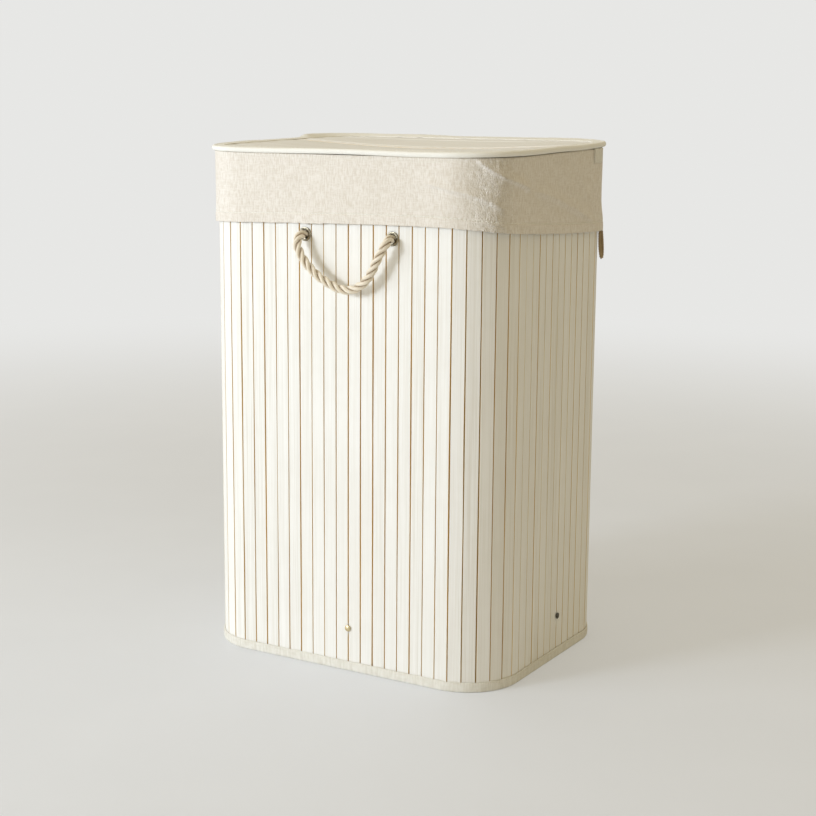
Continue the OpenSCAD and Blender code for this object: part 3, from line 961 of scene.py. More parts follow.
@dataclass(frozen=True)
class Cloth(Finish):
    """Woven cloth with uneven threads."""

    light: tuple = paint(236, 226, 205)
    dark: tuple = paint(196, 182, 155)
    threads: float = 1150.0
    slub: float = 0.8
    source: str = "UV"
    bump: float = 0.5
    depth: float = 0.3 * MM

    def lay(self, bench: Bench, shader: bpy.types.Node) -> None:
        """Joins the finish's nodes to the shader."""
        place = self.place(bench, self.source)
        if self.source == "Object":
            parts = bench.add("SeparateXYZ", {0: place}).outputs
            level = bench.plus(parts[0], parts[1])
            rise = bench.plus(parts[2], bench.sum("SUBTRACT", parts[0], parts[1]))
            place = bench.add("CombineXYZ", {0: level, 1: rise}).outputs[0]
        woven = bench.group(weave(), Place=place, Threads=self.threads, Slub=self.slub)
        patches = bench.group(mottle(), Place=self.place(bench), Patches=16.0)
        # The weave's tone is the uneven yarn plus painted shade between the threads.
        colour = bench.mix(bench.fit(woven["Tone"], 0.1, 1.05), self.dark, self.light)
        colour = bench.mix(bench.times(patches["Mask"], 0.14), colour, self.dark)
        pucker = bench.attribute("pucker")
        crumpled = bench.times(bench.noise(bench.scaled(place, (760.0, 420.0, 0.0)), 1.0, 2.0, 0.55), pucker)
        soft = bench.bump(crumpled, 1.0, 2.4 * MM)
        bench.feed(shader, {
            "Base Color": colour,
            "Normal": bench.bump(woven["Height"], self.bump, self.depth, soft),
            "Sheen Weight": 0.12,
            "Sheen Roughness": 0.5,
        })


@dataclass(frozen=True)
class Fibre(Finish):
    """Twisted plant fibre, its yarns slanting round each strand, with painted shade deep between the strands."""

    light: tuple = paint(253, 248, 237)
    dark: tuple = paint(236, 222, 196)
    yarns: float = 900.0
    # Painted shade: the dark colour for points deep between the strands.
    groove_shade: tuple = paint(150, 118, 74)

    def lay(self, bench: Bench, shader: bpy.types.Node) -> None:
        """Joins the finish's nodes to the shader."""
        parts = bench.add("SeparateXYZ", {0: self.place(bench, "UV")}).outputs
        slant = bench.sum("MULTIPLY_ADD", parts[1], -0.45, parts[0])
        strip = bench.add("CombineXYZ", {0: slant, 1: parts[1]}).outputs[0]
        fibres = bench.group(grain(), Place=strip, Scale=(2600.0, 130.0, 0.0))
        wave = bench.sum("SINE", bench.times(slant, self.yarns * 2 * math.pi))
        yarn = bench.sum("MULTIPLY_ADD", wave, 0.5, 0.5)
        patches = bench.group(mottle(), Place=self.place(bench), Patches=90.0)
        tone = bench.plus(bench.times(yarn, 0.45), bench.times(fibres["Streaks"], 0.55))
        colour = bench.mix(tone, self.dark, self.light)
        colour = bench.mix(bench.times(patches["Mask"], 0.2), colour, self.dark)
        bench.feed(shader, {
            # Painted shade: points deep between the strands turn towards the dark colour.
            "Base Color": bench.mix(bench.times(bench.attribute("depth"), 0.8), colour, self.groove_shade),
            "Normal": bench.bump(bench.sum("MULTIPLY_ADD", fibres["Height"], 0.5, yarn), 0.55, 0.25 * MM),
            "Sheen Weight": 0.15,
        })


@dataclass(frozen=True)
class Metal(Finish):
    """Plated or bare metal with small scratches and dulled patches."""

    colour: tuple = paint(200, 198, 190)
    dull: tuple = paint(150, 146, 136)
    metallic: float = 1.0

    def lay(self, bench: Bench, shader: bpy.types.Node) -> None:
        """Joins the finish's nodes to the shader."""
        place = self.place(bench)
        patches = bench.group(mottle(), Place=place, Patches=260.0)["Mask"]
        scratches = bench.group(grain(), Place=place, Scale=(900.0, 900.0, 4200.0))
        colour = bench.mix(bench.times(patches, 0.7), self.colour, self.dull)
        rubbed = bench.sum("MULTIPLY_ADD", scratches["Streaks"], 0.4, patches)
        bench.feed(shader, {
            "Base Color": colour,
            "Roughness": bench.fit(rubbed, 0.0, 1.4, self.roughness - 0.08, self.roughness + 0.2),
            "Normal": bench.bump(scratches["Height"], 0.15, 0.05 * MM),
            "Metallic": self.metallic,
        })


@dataclass(frozen=True)
class Thread(Finish):
    """Sewing thread."""

    colour: tuple = paint(244, 240, 228)

    def lay(self, bench: Bench, shader: bpy.types.Node) -> None:
        """Joins the finish's nodes to the shader."""
        fibres = bench.group(grain(), Place=self.place(bench), Scale=(1900.0, 1900.0, 1900.0))
        darker = tuple(c * 0.72 for c in self.colour[:3]) + (1.0,)
        bench.feed(shader, {
            "Base Color": bench.mix(bench.times(fibres["Streaks"], 0.6), self.colour, darker),
            "Normal": bench.bump(fibres["Height"], 0.4, 0.1 * MM),
        })


PAINTED = PaintedBamboo("painted bamboo", 0.62)
RAW = Timber("raw bamboo lath", 0.7)
BOARD = Timber("base board", 0.75, paint(206, 180, 138), paint(170, 138, 94), (500.0, 9.0, 500.0))
BACKING = Cloth("backing cloth", 0.9, paint(242, 218, 146), paint(216, 184, 112), 900.0, 0.8, "Object")
PANEL_BACK = Cloth("panel backing cloth", 0.9, paint(226, 216, 194), paint(188, 172, 142), 900.0, 0.8)
LINEN = Cloth("liner linen", 0.92, paint(244, 239, 231), paint(220, 211, 197), 1250.0, 0.6)
BAG_CLOTH = Cloth("bag cloth", 0.92, paint(240, 233, 216), paint(212, 200, 176), 1100.0, 0.9)
TAPE = Cloth("white tape", 0.85, paint(246, 244, 236), paint(226, 222, 209), 820.0, 0.6, "UV", 0.7, 0.45 * MM)
LID_TAPE = Cloth("lid tape", 0.78, paint(249, 248, 242), paint(240, 238, 229), 1000.0, 0.15, "UV", 0.25, 0.2 * MM)
PLAIN_TAPE = Cloth("inner tape", 0.85, paint(244, 242, 234), paint(218, 213, 200), 820.0, 0.7, "Object")
ROPE_FIBRE = Fibre("rope fibre", 0.88)
CORD_FIBRE = Fibre("pull cord fibre", 0.88, paint(206, 186, 150), paint(156, 132, 96), 1300.0)
# Painted reflection: the nickel is darker than bare nickel so the eyelets show the dark surroundings they would mirror.
NICKEL = Metal("dulled nickel", 0.22, paint(166, 158, 138), paint(112, 104, 86))
STEEL = Metal("plated steel", 0.3)
# Painted shade: a dark steel colour for the screws on the shaded sides, which are the same screws as the brass ones at
# the front and back.
SHADE_PAINTED_STEEL = Metal("darkened steel", 0.4, paint(96, 92, 80), paint(58, 54, 44))
BRASS = Metal("brass plate", 0.36, paint(228, 212, 170), paint(192, 172, 128), 0.8)
WHITE_THREAD = Thread("white thread", 0.8)
LINEN_THREAD = Thread("linen thread", 0.8, paint(253, 250, 242))


# ---- camera and light


@dataclass(frozen=True)
class Lamp:
    """A square soft lamp that faces the hamper's middle, at degrees round from the front towards the right."""

    name: str
    azimuth: float
    elevation: float
    distance: float
    size: float
    watts: float
    tint: tuple[float, float, float] = (0.83, 0.9, 1.0)
    aim_z: float = 0.32

    def hang(self) -> None:
        """Hangs the lamp."""
        lamp = bpy.data.lights.new(self.name, "AREA")
        lamp.shape, lamp.size, lamp.energy, lamp.color = "SQUARE", self.size, self.watts, self.tint
        holder = bpy.data.objects.new(self.name, lamp)
        bpy.context.scene.collection.objects.link(holder)
        az, el = math.radians(self.azimuth), math.radians(self.elevation)
        place = np.array([math.sin(az) * math.cos(el), -math.cos(az) * math.cos(el), math.sin(el)]) * self.distance
        holder.location = place + self.aim_z * UP
        holder.rotation_euler = (math.pi / 2 - el, 0, az)


@dataclass(frozen=True)
class Studio:
    """Plain pale floor, soft light and the camera."""

    lens: float = 72.15
    sensor: float = 36.0
    eye: tuple[float, float, float] = (0.98584, -1.67079, 0.65276)
    azimuth: float = 30.549
    elevation: float = 10.789
    roll: float = 0.412
    backdrop: tuple[float, float, float, float] = (0.80, 0.80, 0.785, 1.0)
    sky: tuple[float, float, float, float] = (1.0, 0.845, 0.54, 1.0)
    sky_strength: float = 0.46
    floor_size: float = 24.0
    lamps: tuple[Lamp, ...] = (
        Lamp("side lamp", -48, 17, 3.2, 0.9, 18),
        Lamp("key lamp", -30, 14, 3.4, 0.8, 57),
        Lamp("top lamp", 0, 82, 2.6, 2.4, 9, (1.0, 0.99, 0.97)),
    )

    def set_camera(self) -> None:
        """Places the camera."""
        camera = bpy.data.cameras.new("camera")
        camera.lens, camera.sensor_width = self.lens, self.sensor
        camera.clip_start, camera.clip_end = 0.05, 60.0
        holder = bpy.data.objects.new("camera", camera)
        bpy.context.scene.collection.objects.link(holder)
        holder.location = self.eye
        holder.rotation_mode = "XYZ"
        az, el, roll = (math.radians(a) for a in (self.azimuth, self.elevation, self.roll))
        ahead = np.array([-math.sin(az) * math.cos(el), math.cos(az) * math.cos(el), -math.sin(el)])
        right = np.array([math.cos(az), math.sin(az), 0.0])
        up = np.cross(right, ahead)
        x = math.cos(roll) * right + math.sin(roll) * up
        y = -math.sin(roll) * right + math.cos(roll) * up
        holder.rotation_euler = Matrix(np.stack([x, y, -ahead], 1).tolist()).to_euler("XYZ")
        bpy.context.scene.camera = holder

    def light(self) -> None:
        """Lights the scene."""
        for lamp in self.lamps:
            lamp.hang()
        world = bpy.data.worlds.new("studio")
        world.use_nodes = True
        bpy.context.scene.world = world
        bench = Bench(world.node_tree)
        path = bench.add("LightPath").outputs
        mirrored = bench.sum("MAXIMUM", path["Is Glossy Ray"], path["Is Transmission Ray"])
        seen = bench.sum("MAXIMUM", path["Is Camera Ray"], mirrored)
        bench.feed(bench.first("BACKGROUND"), {
            "Color": bench.mix(seen, self.sky, self.backdrop),
            "Strength": bench.fit(seen, 0.0, 1.0, self.sky_strength, 1.0),
        })
        bpy.context.scene.view_settings.view_transform = "Standard"

    def lay_floor(self) -> None:
        """Lays the floor, which turns into the plain backdrop away from the hamper."""
        bpy.ops.mesh.primitive_grid_add(x_subdivisions=8, y_subdivisions=8, size=self.floor_size)
        floor = start_piece("floor")
        made = bpy.data.materials.new("studio floor")
        made.use_nodes = True
        bench = Bench(made.node_tree)
        shader = bench.first("BSDF_PRINCIPLED")
        place = bench.add("TexCoord").outputs["Object"]
        patches = bench.group(mottle(), Place=place, Patches=1.2)["Mask"]
        bench.feed(shader, {
            "Base Color": bench.mix(patches, paint(232, 236, 243), paint(228, 232, 239)),
            "Roughness": 0.6,
            "Specular IOR Level": 0.25,
        })
        distance = bench.add("VectorMath", {0: place}, operation="LENGTH").outputs["Value"]
        far = bench.fit(distance, 0.6, 3.0, 0.3, 1.0)
        far = bench.times(far, bench.add("LightPath").outputs["Is Camera Ray"])
        plain = bench.add("Emission", {"Color": self.backdrop, "Strength": 1.0}).outputs[0]
        mixed = bench.add("MixShader", {0: far, 1: shader.outputs[0], 2: plain}).outputs[0]
        bench.feed(bench.first("OUTPUT_MATERIAL"), {"Surface": mixed})
        floor.data.materials.append(made)


# ---- handles and pull cord

# Points along the wall, out from the slats and up, in millimetres.
ROPE_ROUTE = [
    (-57, -6, 0), (-57, 3, 0), (-57.2, 9, -0.8), (-57.8, 13, -4), (-57.6, 15.4, -10), (-55, 16, -17), (-47, 16, -29),
    (-33, 15, -42), (-18, 14, -51), (-3, 13, -57), (12, 13, -57), (27, 14, -50), (38, 15, -38), (46, 16, -24),
    (53, 16, -12), (57, 14.4, -5), (57.2, 9, -0.8), (57, 3, 0), (57, -6, 0),
]
PULL_ROUTE = [
    (-1.5, 2.9, 0), (-1.6, 3.0, -8), (-2.0, 3.1, -20), (-2.4, 3.6, -31), (-2.2, 4.6, -39.5), (-0.6, 5.6, -43.5),
    (1.4, 6.4, -40.5), (2.4, 6.4, -32), (2.2, 5.6, -20), (1.7, 4.4, -8), (1.5, 4.0, 0),
]


def beside_wall(route: Sequence[tuple[float, float, float]], s: float, z: float) -> Array:
    """Stands a route in millimetres beside the wall, its origin at distance s round it and height z."""
    return WALL.beside(np.array(route, float) * MM, s, z)


@dataclass
class RopeHandle:
    """A rope loop that goes through two eyelets and is knotted inside the wall."""

    name: str
    body: Body
    joint: float
    eyelet_z: float = 0.501
    eyelet_x: float = 57.0
    diameter: float = 8.6 * MM
    lay: float = 33 * MM
    strays: int = 420
    stray_reach: tuple[float, float] = (2.5, 6.5)
    stray_width: float = 0.17 * MM

    def line(self, step: float, route: Sequence[tuple[float, float, float]] = ROPE_ROUTE) -> Array:
        """Even points along the loop or another route."""
        return smooth_line(beside_wall(route, self.joint, self.eyelet_z), step)

    def loop(self) -> None:
        """Lays the loop's strands from knot to knot."""
        skin = Skin()
        TwistedCord(self.diameter, self.lay, 3, 12).wind(skin, self.line(0.8 * MM), swell=0.16)
        rope = skin.piece(f"{self.name}_rope_loop")
        ROPE_FIBRE.dress(rope)
        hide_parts(f"{self.name}_rope")
        self.hang(rope)
        path = self.line(2 * MM)

    def fuzz(self) -> None:
        """Raises short stray fibres from the loop."""
        line = self.line(0.8 * MM)
        side, up = travelling_frame(line)
        rng = np.random.default_rng(71)
        skin = Skin()
        t = np.linspace(0, 1, 5)[:, None]
        turn = -np.arange(3) / 3 * 2 * math.pi
        for k in rng.integers(26, len(line) - 26, self.strays):
            angle, length = rng.uniform(0, 2 * math.pi), rng.uniform(*self.stray_reach) * MM
            away = math.cos(angle) * side[k] + math.sin(angle) * up[k]
            onward = (line[k + 1] - line[k - 1]) / np.linalg.norm(line[k + 1] - line[k - 1]) * rng.choice((-1, 1))
            hair = line[k] + away * (0.46 * self.diameter + length * 0.42 * t) + onward * length * 0.8 * t**0.8
            hair = hair + rng.normal(0, 0.25, 3) * length * t**2
            ring = np.cos(turn)[:, None] * away + np.sin(turn)[:, None] * np.cross(onward, away)
            grid = hair[:, None, :] + ring[None] * (self.stray_width * (1 - 0.6 * t))[:, :, None]
            uv = np.stack(np.meshgrid(t[:, 0] * length, np.arange(4) * 0.2 * MM, indexing="ij"), -1)
            skin.add(grid, uv, closed_v=True, capped=True)
        fuzz = skin.piece(f"{self.name}_rope_fibres")
        ROPE_FIBRE.dress(fuzz)
        self.hang(fuzz)

    def hang(self, piece: Piece) -> None:
        """Bakes the piece's place into its mesh."""
        out = WALL.outward(self.joint)
        face = WALL.points(self.joint, 0.0, self.eyelet_z)
        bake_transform(piece)

    def knots(self) -> None:
        """Winds the two stopper knots inside the wall."""
        skin = Skin()
        t = np.linspace(0, 2.15, 60)
        angle = 2 * math.pi * t
        for x in (-self.eyelet_x, self.eyelet_x):
            wound = np.stack([x + 5.3 * np.cos(angle), -7.9 - 3.9 * t * 0.98, 5.3 * np.sin(angle)], -1)
            TwistedCord(5.0 * MM, 15 * MM, 3, 7).wind(skin, self.line(1.2 * MM, wound))
            tail = [(x, -4, 0), (x, -10, 0), (x, -16.4, 0)]
            TwistedCord(7.4 * MM, self.lay, 3, 8).wind(skin, self.line(1 * MM, tail), 0.35)
        knots = skin.piece(f"{self.name}_rope_knots")
        ROPE_FIBRE.dress(knots)
        attach(knots, Body.BASKET, Slot.ROPE, f"{self.name}_rope_ends")

    def build(self) -> None:
        """Makes the handle."""
        self.loop()
        self.fuzz()
        self.knots()


@dataclass
class PullCord:
    """The liner's pull cord, a loop that hangs out from under the cuff."""

    bend: float = 24.0
    hem_z: float = 0.510
    diameter: float = 4 * MM

    @property
    def s(self) -> float:
        """Distance of the cord round the wall."""
        return WALL.bends[1] + self.bend / 90 * WALL.bend_run

    def build(self) -> None:
        """Makes the cord."""
        route = beside_wall(PULL_ROUTE, self.s, self.hem_z)
        skin = Skin()
        TwistedCord(self.diameter, 9 * MM, 3, 8).wind(skin, smooth_line(route, 0.5 * MM))
        cord = skin.piece("liner_pull_cord")
        CORD_FIBRE.dress(cord)
        attach(cord, Body.BASKET, Slot.ROPE, "liner_pull")


# ---- wall


@dataclass(frozen=True)
class SlatKind:
    """A kind of split slat: its section, and how its edges wander and show raw bamboo. Widths of wander are in mm."""

    width: float
    thickness: float
    edge: float
    cuts: int
    bared: tuple[float, float]
    underside: float
    spacing: float
    spread: float
    inward: float
    outward: float
    skew: float = 1.0

    def cut(
        self, name: str, centre: tuple, size: tuple, across: int, along: int, outer: Callable[..., bool]
    ) -> Piece:
        """Models a slat with rounded outer edges.

        Args:
            name: the slat's name.
            centre: its middle.
            size: its size along each axis.
            across: number of the axis across it.
            along: number of the axis along it.
            outer: tests whether a point lies on its outer face.

        Returns:
            The slat.
        """
        bpy.ops.mesh.primitive_cube_add(size=1, location=centre, scale=size)
        slat = start_piece(name)
        pick(slat, "EDGE", lambda a, b: abs(a[across] - b[across]) > MM)
        bpy.ops.mesh.subdivide(number_cuts=1)
        pick(
            slat,
            "EDGE",
            lambda a, b: abs(a[along] - b[along]) > size[along] / 2 and outer(a) and abs(a[across]) > self.width / 4,
        )
        bpy.ops.mesh.bevel(offset=self.edge, segments=2, profile=0.5, affect="EDGES")
        pick(slat, "EDGE", lambda a, b: abs(a[along] - b[along]) > size[along] / 2)
        bpy.ops.mesh.subdivide(number_cuts=self.cuts)
        close_edit()
        return slat

    def mark(
        self, slat: Piece, number: int, across: Array, onward: Array, below: Array,
        rng: np.random.Generator,
    ) -> None:
        """Lays a slat's fibres and marks its raw sides and its tone.

        Args:
            slat: the slat.
            number: its number, which gives it fibres of its own.
            across: each vertex's place across the slat.
            onward: each vertex's place along it.
            below: each vertex's depth under the outer face.
            rng: random numbers of this slat.
        """
        uv = slat.data.uv_layers.active or slat.data.uv_layers.new(name="UVMap")
        loops = np.empty(len(slat.data.loops), dtype=int)
        slat.data.loops.foreach_get("vertex_index", loops)
        reach = across + np.sign(across) * below
        places = np.stack([reach + number * self.spacing, onward + rng.uniform(0, 0.3)], -1)
        uv.data.foreach_set("uv", places[loops].astype(np.float32).ravel())
        bare = smooth(below, *self.bared) * (np.abs(across) > self.width * 0.4) + (below > self.underside)
        mark(slat, "raw", bare)
        mark(slat, "tone", np.full(len(across), rng.uniform(0, 1) ** self.skew))

    def wander(self, across: Array, rng: np.random.Generator, wave: Callable[[], Array]) -> Array:
        """How far points across the slat move sideways with its two uneven edges."""
        low, high = rng.normal(0, self.spread) + wave(), rng.normal(0, self.spread) + wave()
        share = np.clip(across / self.width + 0.5, 0, 1)
        low, high = np.clip(low, -self.outward, self.inward), np.clip(high, -self.inward, self.outward)
        return ((1 - share) * low + share * high) * MM

    def crown(self, across: Array) -> Array:
        """Height of the slat's rounded face."""
        return 0.04 * MM * (1 - (2 * across / self.width) ** 2)


WALL_SLAT = SlatKind(
    15.2 * MM, 3 * MM, 0.4 * MM, 19, (0.02 * MM, 0.32 * MM), 2 * MM, 0.113, 0.16, 0.35, 0.55, skew=1.5
)
LID_SLAT = SlatKind(15.2 * MM, 2.6 * MM, 0.8 * MM, 31, (0.1 * MM, 0.9 * MM), 1.8 * MM, 0.117, 0.12, 0.4, 0.4)
SLAT_SHARP = 14.0


def spread(profile: Sequence[tuple[float, float]], columns: int) -> tuple[Array, Array]:
    """Repeats a profile's distances out and heights, in millimetres, for each column."""
    grid = np.repeat((np.array(profile) * MM)[None], columns, 0)
    return grid[..., 0], grid[..., 1]


def lay_cloth(
    name: str, grid: Array, uv: Array, thickness: float, finish: Finish, closed: bool = False,
    **marks: Array,
) -> Piece:
    """Makes a cloth piece.

    Args:
        name: the piece's name.
        grid: points of its outer face.
        uv: places on the cloth.
        thickness: its thickness.
        finish: its finish.
        closed: the last row joins the first.
        marks: numbers for the face's points, by the names that materials read.

    Returns:
        The piece.
    """
    skin = Skin()
    skin.add(grid, uv, closed_u=closed)
    piece = skin.piece(name)
    for label, values in marks.items():
        mark(piece, label, values)
    thicken(piece, thickness)
    finish.dress(piece)
    return piece


@dataclass
class SlatWall:
    """The upright slats with the hoops, screws, eyelets and tapes that hold them."""

    kind: SlatKind = WALL_SLAT
    foot: float = MM
    drop: float = 2 * MM
    eyelet_z: float = 0.501
    eyelet_span: float = 3.5
    eyelet_hole: float = 11.8 * MM
    screw_hole: float = 4.4 * MM
    screw_heights: tuple[float, float] = (0.051, 0.562)
    screw_head: float = 3.75 * MM
    screw_rise: float = 1.5 * MM
    tape_columns: int = 560
    tape_stitch_z: float = 9.6 * MM
    tape_stitch_pitch: float = 5.0 * MM

    def blank(self) -> Piece:
        """Models one slat, its outer face on y = 0 and its foot just over the floor."""
        height = WALL.height - self.drop
        centre = (0, self.kind.thickness / 2, self.foot + height / 2)
        size = (self.kind.width, self.kind.thickness, height)
        return self.kind.cut("slat", centre, size, 0, 2, lambda point: point.y < MM)

    def laid_slat(self, blank: Piece, k: int) -> tuple[Piece, float]:
        """Copies the blank, makes it a little uneven and stands it in its place.

        Args:
            blank: the slat to copy.
            k: number of the slat, round the wall.

        Returns:
            The slat and its distance round the wall.
        """
        rng = np.random.default_rng(100 + k)
        slat = copy_piece(blank, f"slat_{k}")
        points = points_of(slat)
        across, inward, height = points.T.copy()
        self.kind.mark(slat, k, across, height, inward, rng)

        def wave() -> Array:
            """A small wander in millimetres along the slat."""
            return sum(
                rng.normal(0, 0.07) * np.sin(2 * math.pi * (height / rng.uniform(0.12, 0.9) + rng.uniform(0, 1)))
                for _ in range(3)
            )

        points[:, 0] += self.kind.wander(across, rng, wave)
        face = 1 - inward / self.kind.thickness
        level = (0.05 * MM * wave() - self.kind.crown(across)) * face
        points[:, 1] += level + rng.normal(0, 0.08) * MM * face * (across / self.kind.width)
        s = (WALL.first_joint + (k + 0.5) * WALL.pitch) % WALL.perimeter
        move_points(slat, WALL.beside(points * (1, -1, 1), s, 0.0))
        return slat, s

    def drill(self, slats: Piece, at: Sequence[tuple[float, float, float]]) -> None:
        """Drills round holes through a run of slats.

        Args:
            slats: the slats.
            at: distance round the wall, height and diameter of each hole.
        """
        bits = []
        for s, z, diameter in at:
            bpy.ops.mesh.primitive_cylinder_add(
                vertices=28, radius=diameter / 2, depth=12 * MM, location=tuple(WALL.points(s, -2 * MM, z)),
                rotation=(math.pi / 2, 0, WALL.heading(s)),
            )
            bits.append(start_piece("bit"))
        cut_away(slats, joined("bits", bits))

    def build_slats(self) -> None:
        """Makes the eight runs of slats."""
        starts = list(WALL.bends)
        ends = [b + WALL.bend_run for b in starts]
        runs = {
            "front": (ends[3], starts[0]), "front_right": (starts[0], ends[0]), "right": (ends[0], starts[1]),
            "back_right": (starts[1], ends[1]), "back": (ends[1], starts[2]), "back_left": (starts[2], ends[2]),
            "left": (ends[2], starts[3]), "front_left": (starts[3], ends[3]),
        }
        blank = self.blank()
        laid = [self.laid_slat(blank, k) for k in range(WALL.slats)]
        bpy.data.objects.remove(blank)
        aside = self.eyelet_span * WALL.pitch
        holes = [(s, z, self.screw_hole) for s in WALL.screw_joints for z in self.screw_heights]
        holes += [(s + x, self.eyelet_z, self.eyelet_hole) for s in WALL.handle_joints for x in (-aside, aside)]

        def inside(s: float, start: float, end: float) -> bool:
            """Tells whether s lies in a run, which may pass the middle of the front."""
            return start <= s < end if start < end else s >= start or s < end

        for name, run in runs.items():
            slats = joined(f"{name}_bamboo_slats", [slat for slat, s in laid if inside(s, *run)])
            mine = [hole for hole in holes if inside(hole[0] % WALL.perimeter, *run)]
            if mine:
                self.drill(slats, mine)
            shade(slats, SLAT_SHARP)
            PAINTED.dress(slats)
            attach(slats, Body.BASKET, Slot.PAINTED_BAMBOO, f"{name}_slats")

    def build_bottom_tape(self) -> None:
        """Folds the tape round the wall's lower edge and sews it."""
        s = once_round(self.tape_columns)
        profile = [
            (-4.8, 11.7), (-4.8, 8), (-4.8, 4), (-4.8, 1.6), (-4.4, 0.45), (-3.4, 0.0), (-1.6, 0.0), (0.1, 0.0),
            (1.1, 0.4), (1.55, 1.3), (1.7, 3.0), (1.6, 5.0), (1.55, 7.0), (1.6, 8.6), (1.42, 9.6), (1.55, 10.6),
            (1.35, 11.7),
        ]
        out, z = spread(profile, self.tape_columns)
        lump, edge = Ripples(11, 5 * MM, 40 * MM), Ripples(12, 6 * MM, 60 * MM)
        body = smooth(z, 1 * MM, 4 * MM)
        outer = smooth(out, -1 * MM, 1 * MM)
        out += lump(s[:, None], z) * 0.12 * MM * body * outer
        z += edge(s)[:, None] * 0.22 * MM * smooth(z, 5 * MM, 11 * MM)
        uv = wrapped_uv(s, run_lengths(np.array(profile) * MM))
        tape = lay_cloth("bottom_edge_tape", WALL.points(s[:, None], out, z), uv, 0.8 * MM, TAPE, closed=True)
        attach(tape, Body.BASKET, Slot.TAPE, "bottom_tape")
        at = once_round(round(WALL.perimeter / self.tape_stitch_pitch)) + 1.3 * MM
        middle = WALL.points(at, 1.45 * MM, self.tape_stitch_z + edge(at) * 0.15 * MM)
        Stitching().sew(
            "bottom_tape_stitches", middle, WALL.along(at), WALL.outward(at), WHITE_THREAD, Body.BASKET, Slot.TAPE
        )

    def screw(self) -> Piece:
        """Turns one round-headed screw with a cross slot, its head on z = 0."""
        head, rise = self.screw_head, self.screw_rise
        bpy.ops.mesh.primitive_uv_sphere_add(segments=24, ring_count=16, radius=head)
        screw = start_piece("screw")
        pick(screw, "VERT", lambda co: True)
        bpy.ops.mesh.bisect(plane_co=(0, 0, 0), plane_no=(0, 0, 1), clear_inner=True, use_fill=True)
        bpy.ops.mesh.select_all(action="SELECT")
        bpy.ops.transform.resize(value=(1, 1, rise / head))
        close_edit()
        bars = []
        for turn in (0.0, math.pi / 2):
            bar = (4.2 * MM, 0.9 * MM, 1.7 * MM)
            bpy.ops.mesh.primitive_cube_add(size=1, location=(0, 0, rise), rotation=(0, 0, turn), scale=bar)
            bars.append(start_piece("bar"))
        cut_away(screw, joined("cross", bars))
        modify(screw, "BEVEL", width=0.08 * MM, segments=2, limit_method="ANGLE", angle_limit=math.radians(40))
        bpy.ops.mesh.primitive_cylinder_add(vertices=20, radius=2 * MM, depth=11.4 * MM, location=(0, 0, -5.7 * MM))
        shank = start_piece("shank")
        pick(shank, "EDGE", lambda a, b: max(a.z, b.z) < -11 * MM)
        bpy.ops.mesh.bevel(offset=0.5 * MM, segments=2, affect="EDGES")
        close_edit()
        return joined("screw", [screw, shank])

    def build_screws(self) -> None:
        """Drives two rows of screws, each turned its own way; the front and back ones are brass, the side ones a dark
        steel colour that is painted shade.
        """
        screw = self.screw()
        for name, z in zip(("lower", "upper"), self.screw_heights):
            row = []
            for k, s in enumerate(WALL.screw_joints):
                twin = copy_piece(screw, f"screw_{k}")
                x, y, rise = points_of(twin).T
                cos, sin = math.cos(0.5 + k * 1.1), math.sin(0.5 + k * 1.1)
                turned = np.stack([x * cos - y * sin, rise, x * sin + y * cos], -1)
                move_points(twin, WALL.beside(turned, s, z, 0.1 * MM))
                # Painted shade: the side screws take the dark steel colour, the front and back ones brass.
                (BRASS if k % 2 == 0 else SHADE_PAINTED_STEEL).dress(twin)
                row.append(twin)
            whole = joined(f"{name}_wall_screws", row)
            shade(whole)
            attach(whole, Body.BASKET, Slot.BRASS, f"{name}_screws")
        bpy.data.objects.remove(screw)

    def dress_solids(self) -> None:
        """Gives the plain solids of the wall that stay their finishes."""
        BACKING.dress_nodes("wall_backing", "base_cloth")
        PLAIN_TAPE.dress_nodes("top_tape")
        RAW.dress_nodes("lower_hoop", "upper_hoop")
        BOARD.dress_nodes("base_board")
        # The eyelets' darker nickel is painted reflection.
        NICKEL.dress_nodes("front_eyelets", "back_eyelets")
        STEEL.dress_nodes("front_eyelet_washers", "back_eyelet_washers", "lower_nuts", "upper_nuts")

    def build(self) -> None:
        """Makes the wall."""
        self.build_slats()
        self.build_bottom_tape()
        self.build_screws()
        self.dress_solids()


# ---- liner


@dataclass(frozen=True)
class Crease:
    """A fold line in the cuff: a ridge along a line of places, in millimetres round the wall and up."""

    line: tuple[tuple[float, float], ...]
    rise: float
    width: float
    lean: float = 1.0
    fade: float = 0.25

    def height(self, s: Array, z: Array) -> Array:
        """Rise of the cloth in millimetres.

        Args:
            s: distances round the wall, in millimetres.
            z: heights, in millimetres.

        Returns:
            The ridge's height at each place.
        """
        nearest = np.full(s.shape, 1e9)
        side = np.zeros(s.shape)
        at = np.zeros(s.shape)
        line = np.array(self.line, float)
        lengths = run_lengths(line)
        for (a, b), start in zip(zip(line, line[1:]), lengths):
            step = b - a
            share = np.clip(((s - a[0]) * step[0] + (z - a[1]) * step[1]) / (step @ step), 0, 1)
            ds, dz = s - a[0] - share * step[0], z - a[1] - share * step[1]
            distance = np.hypot(ds, dz)
            closer = distance < nearest
            nearest = np.where(closer, distance, nearest)
            side = np.where(closer, step[0] * dz - step[1] * ds, side)
            at = np.where(closer, (start + share * np.hypot(*step)) / lengths[-1], at)
        width = self.width * np.where(side > 0, self.lean, 1.0)
        ends = smooth(at, 0, self.fade) * smooth(1 - at, 0, self.fade)
        return self.rise * np.exp(-((nearest / width) ** 1.6)) * ends


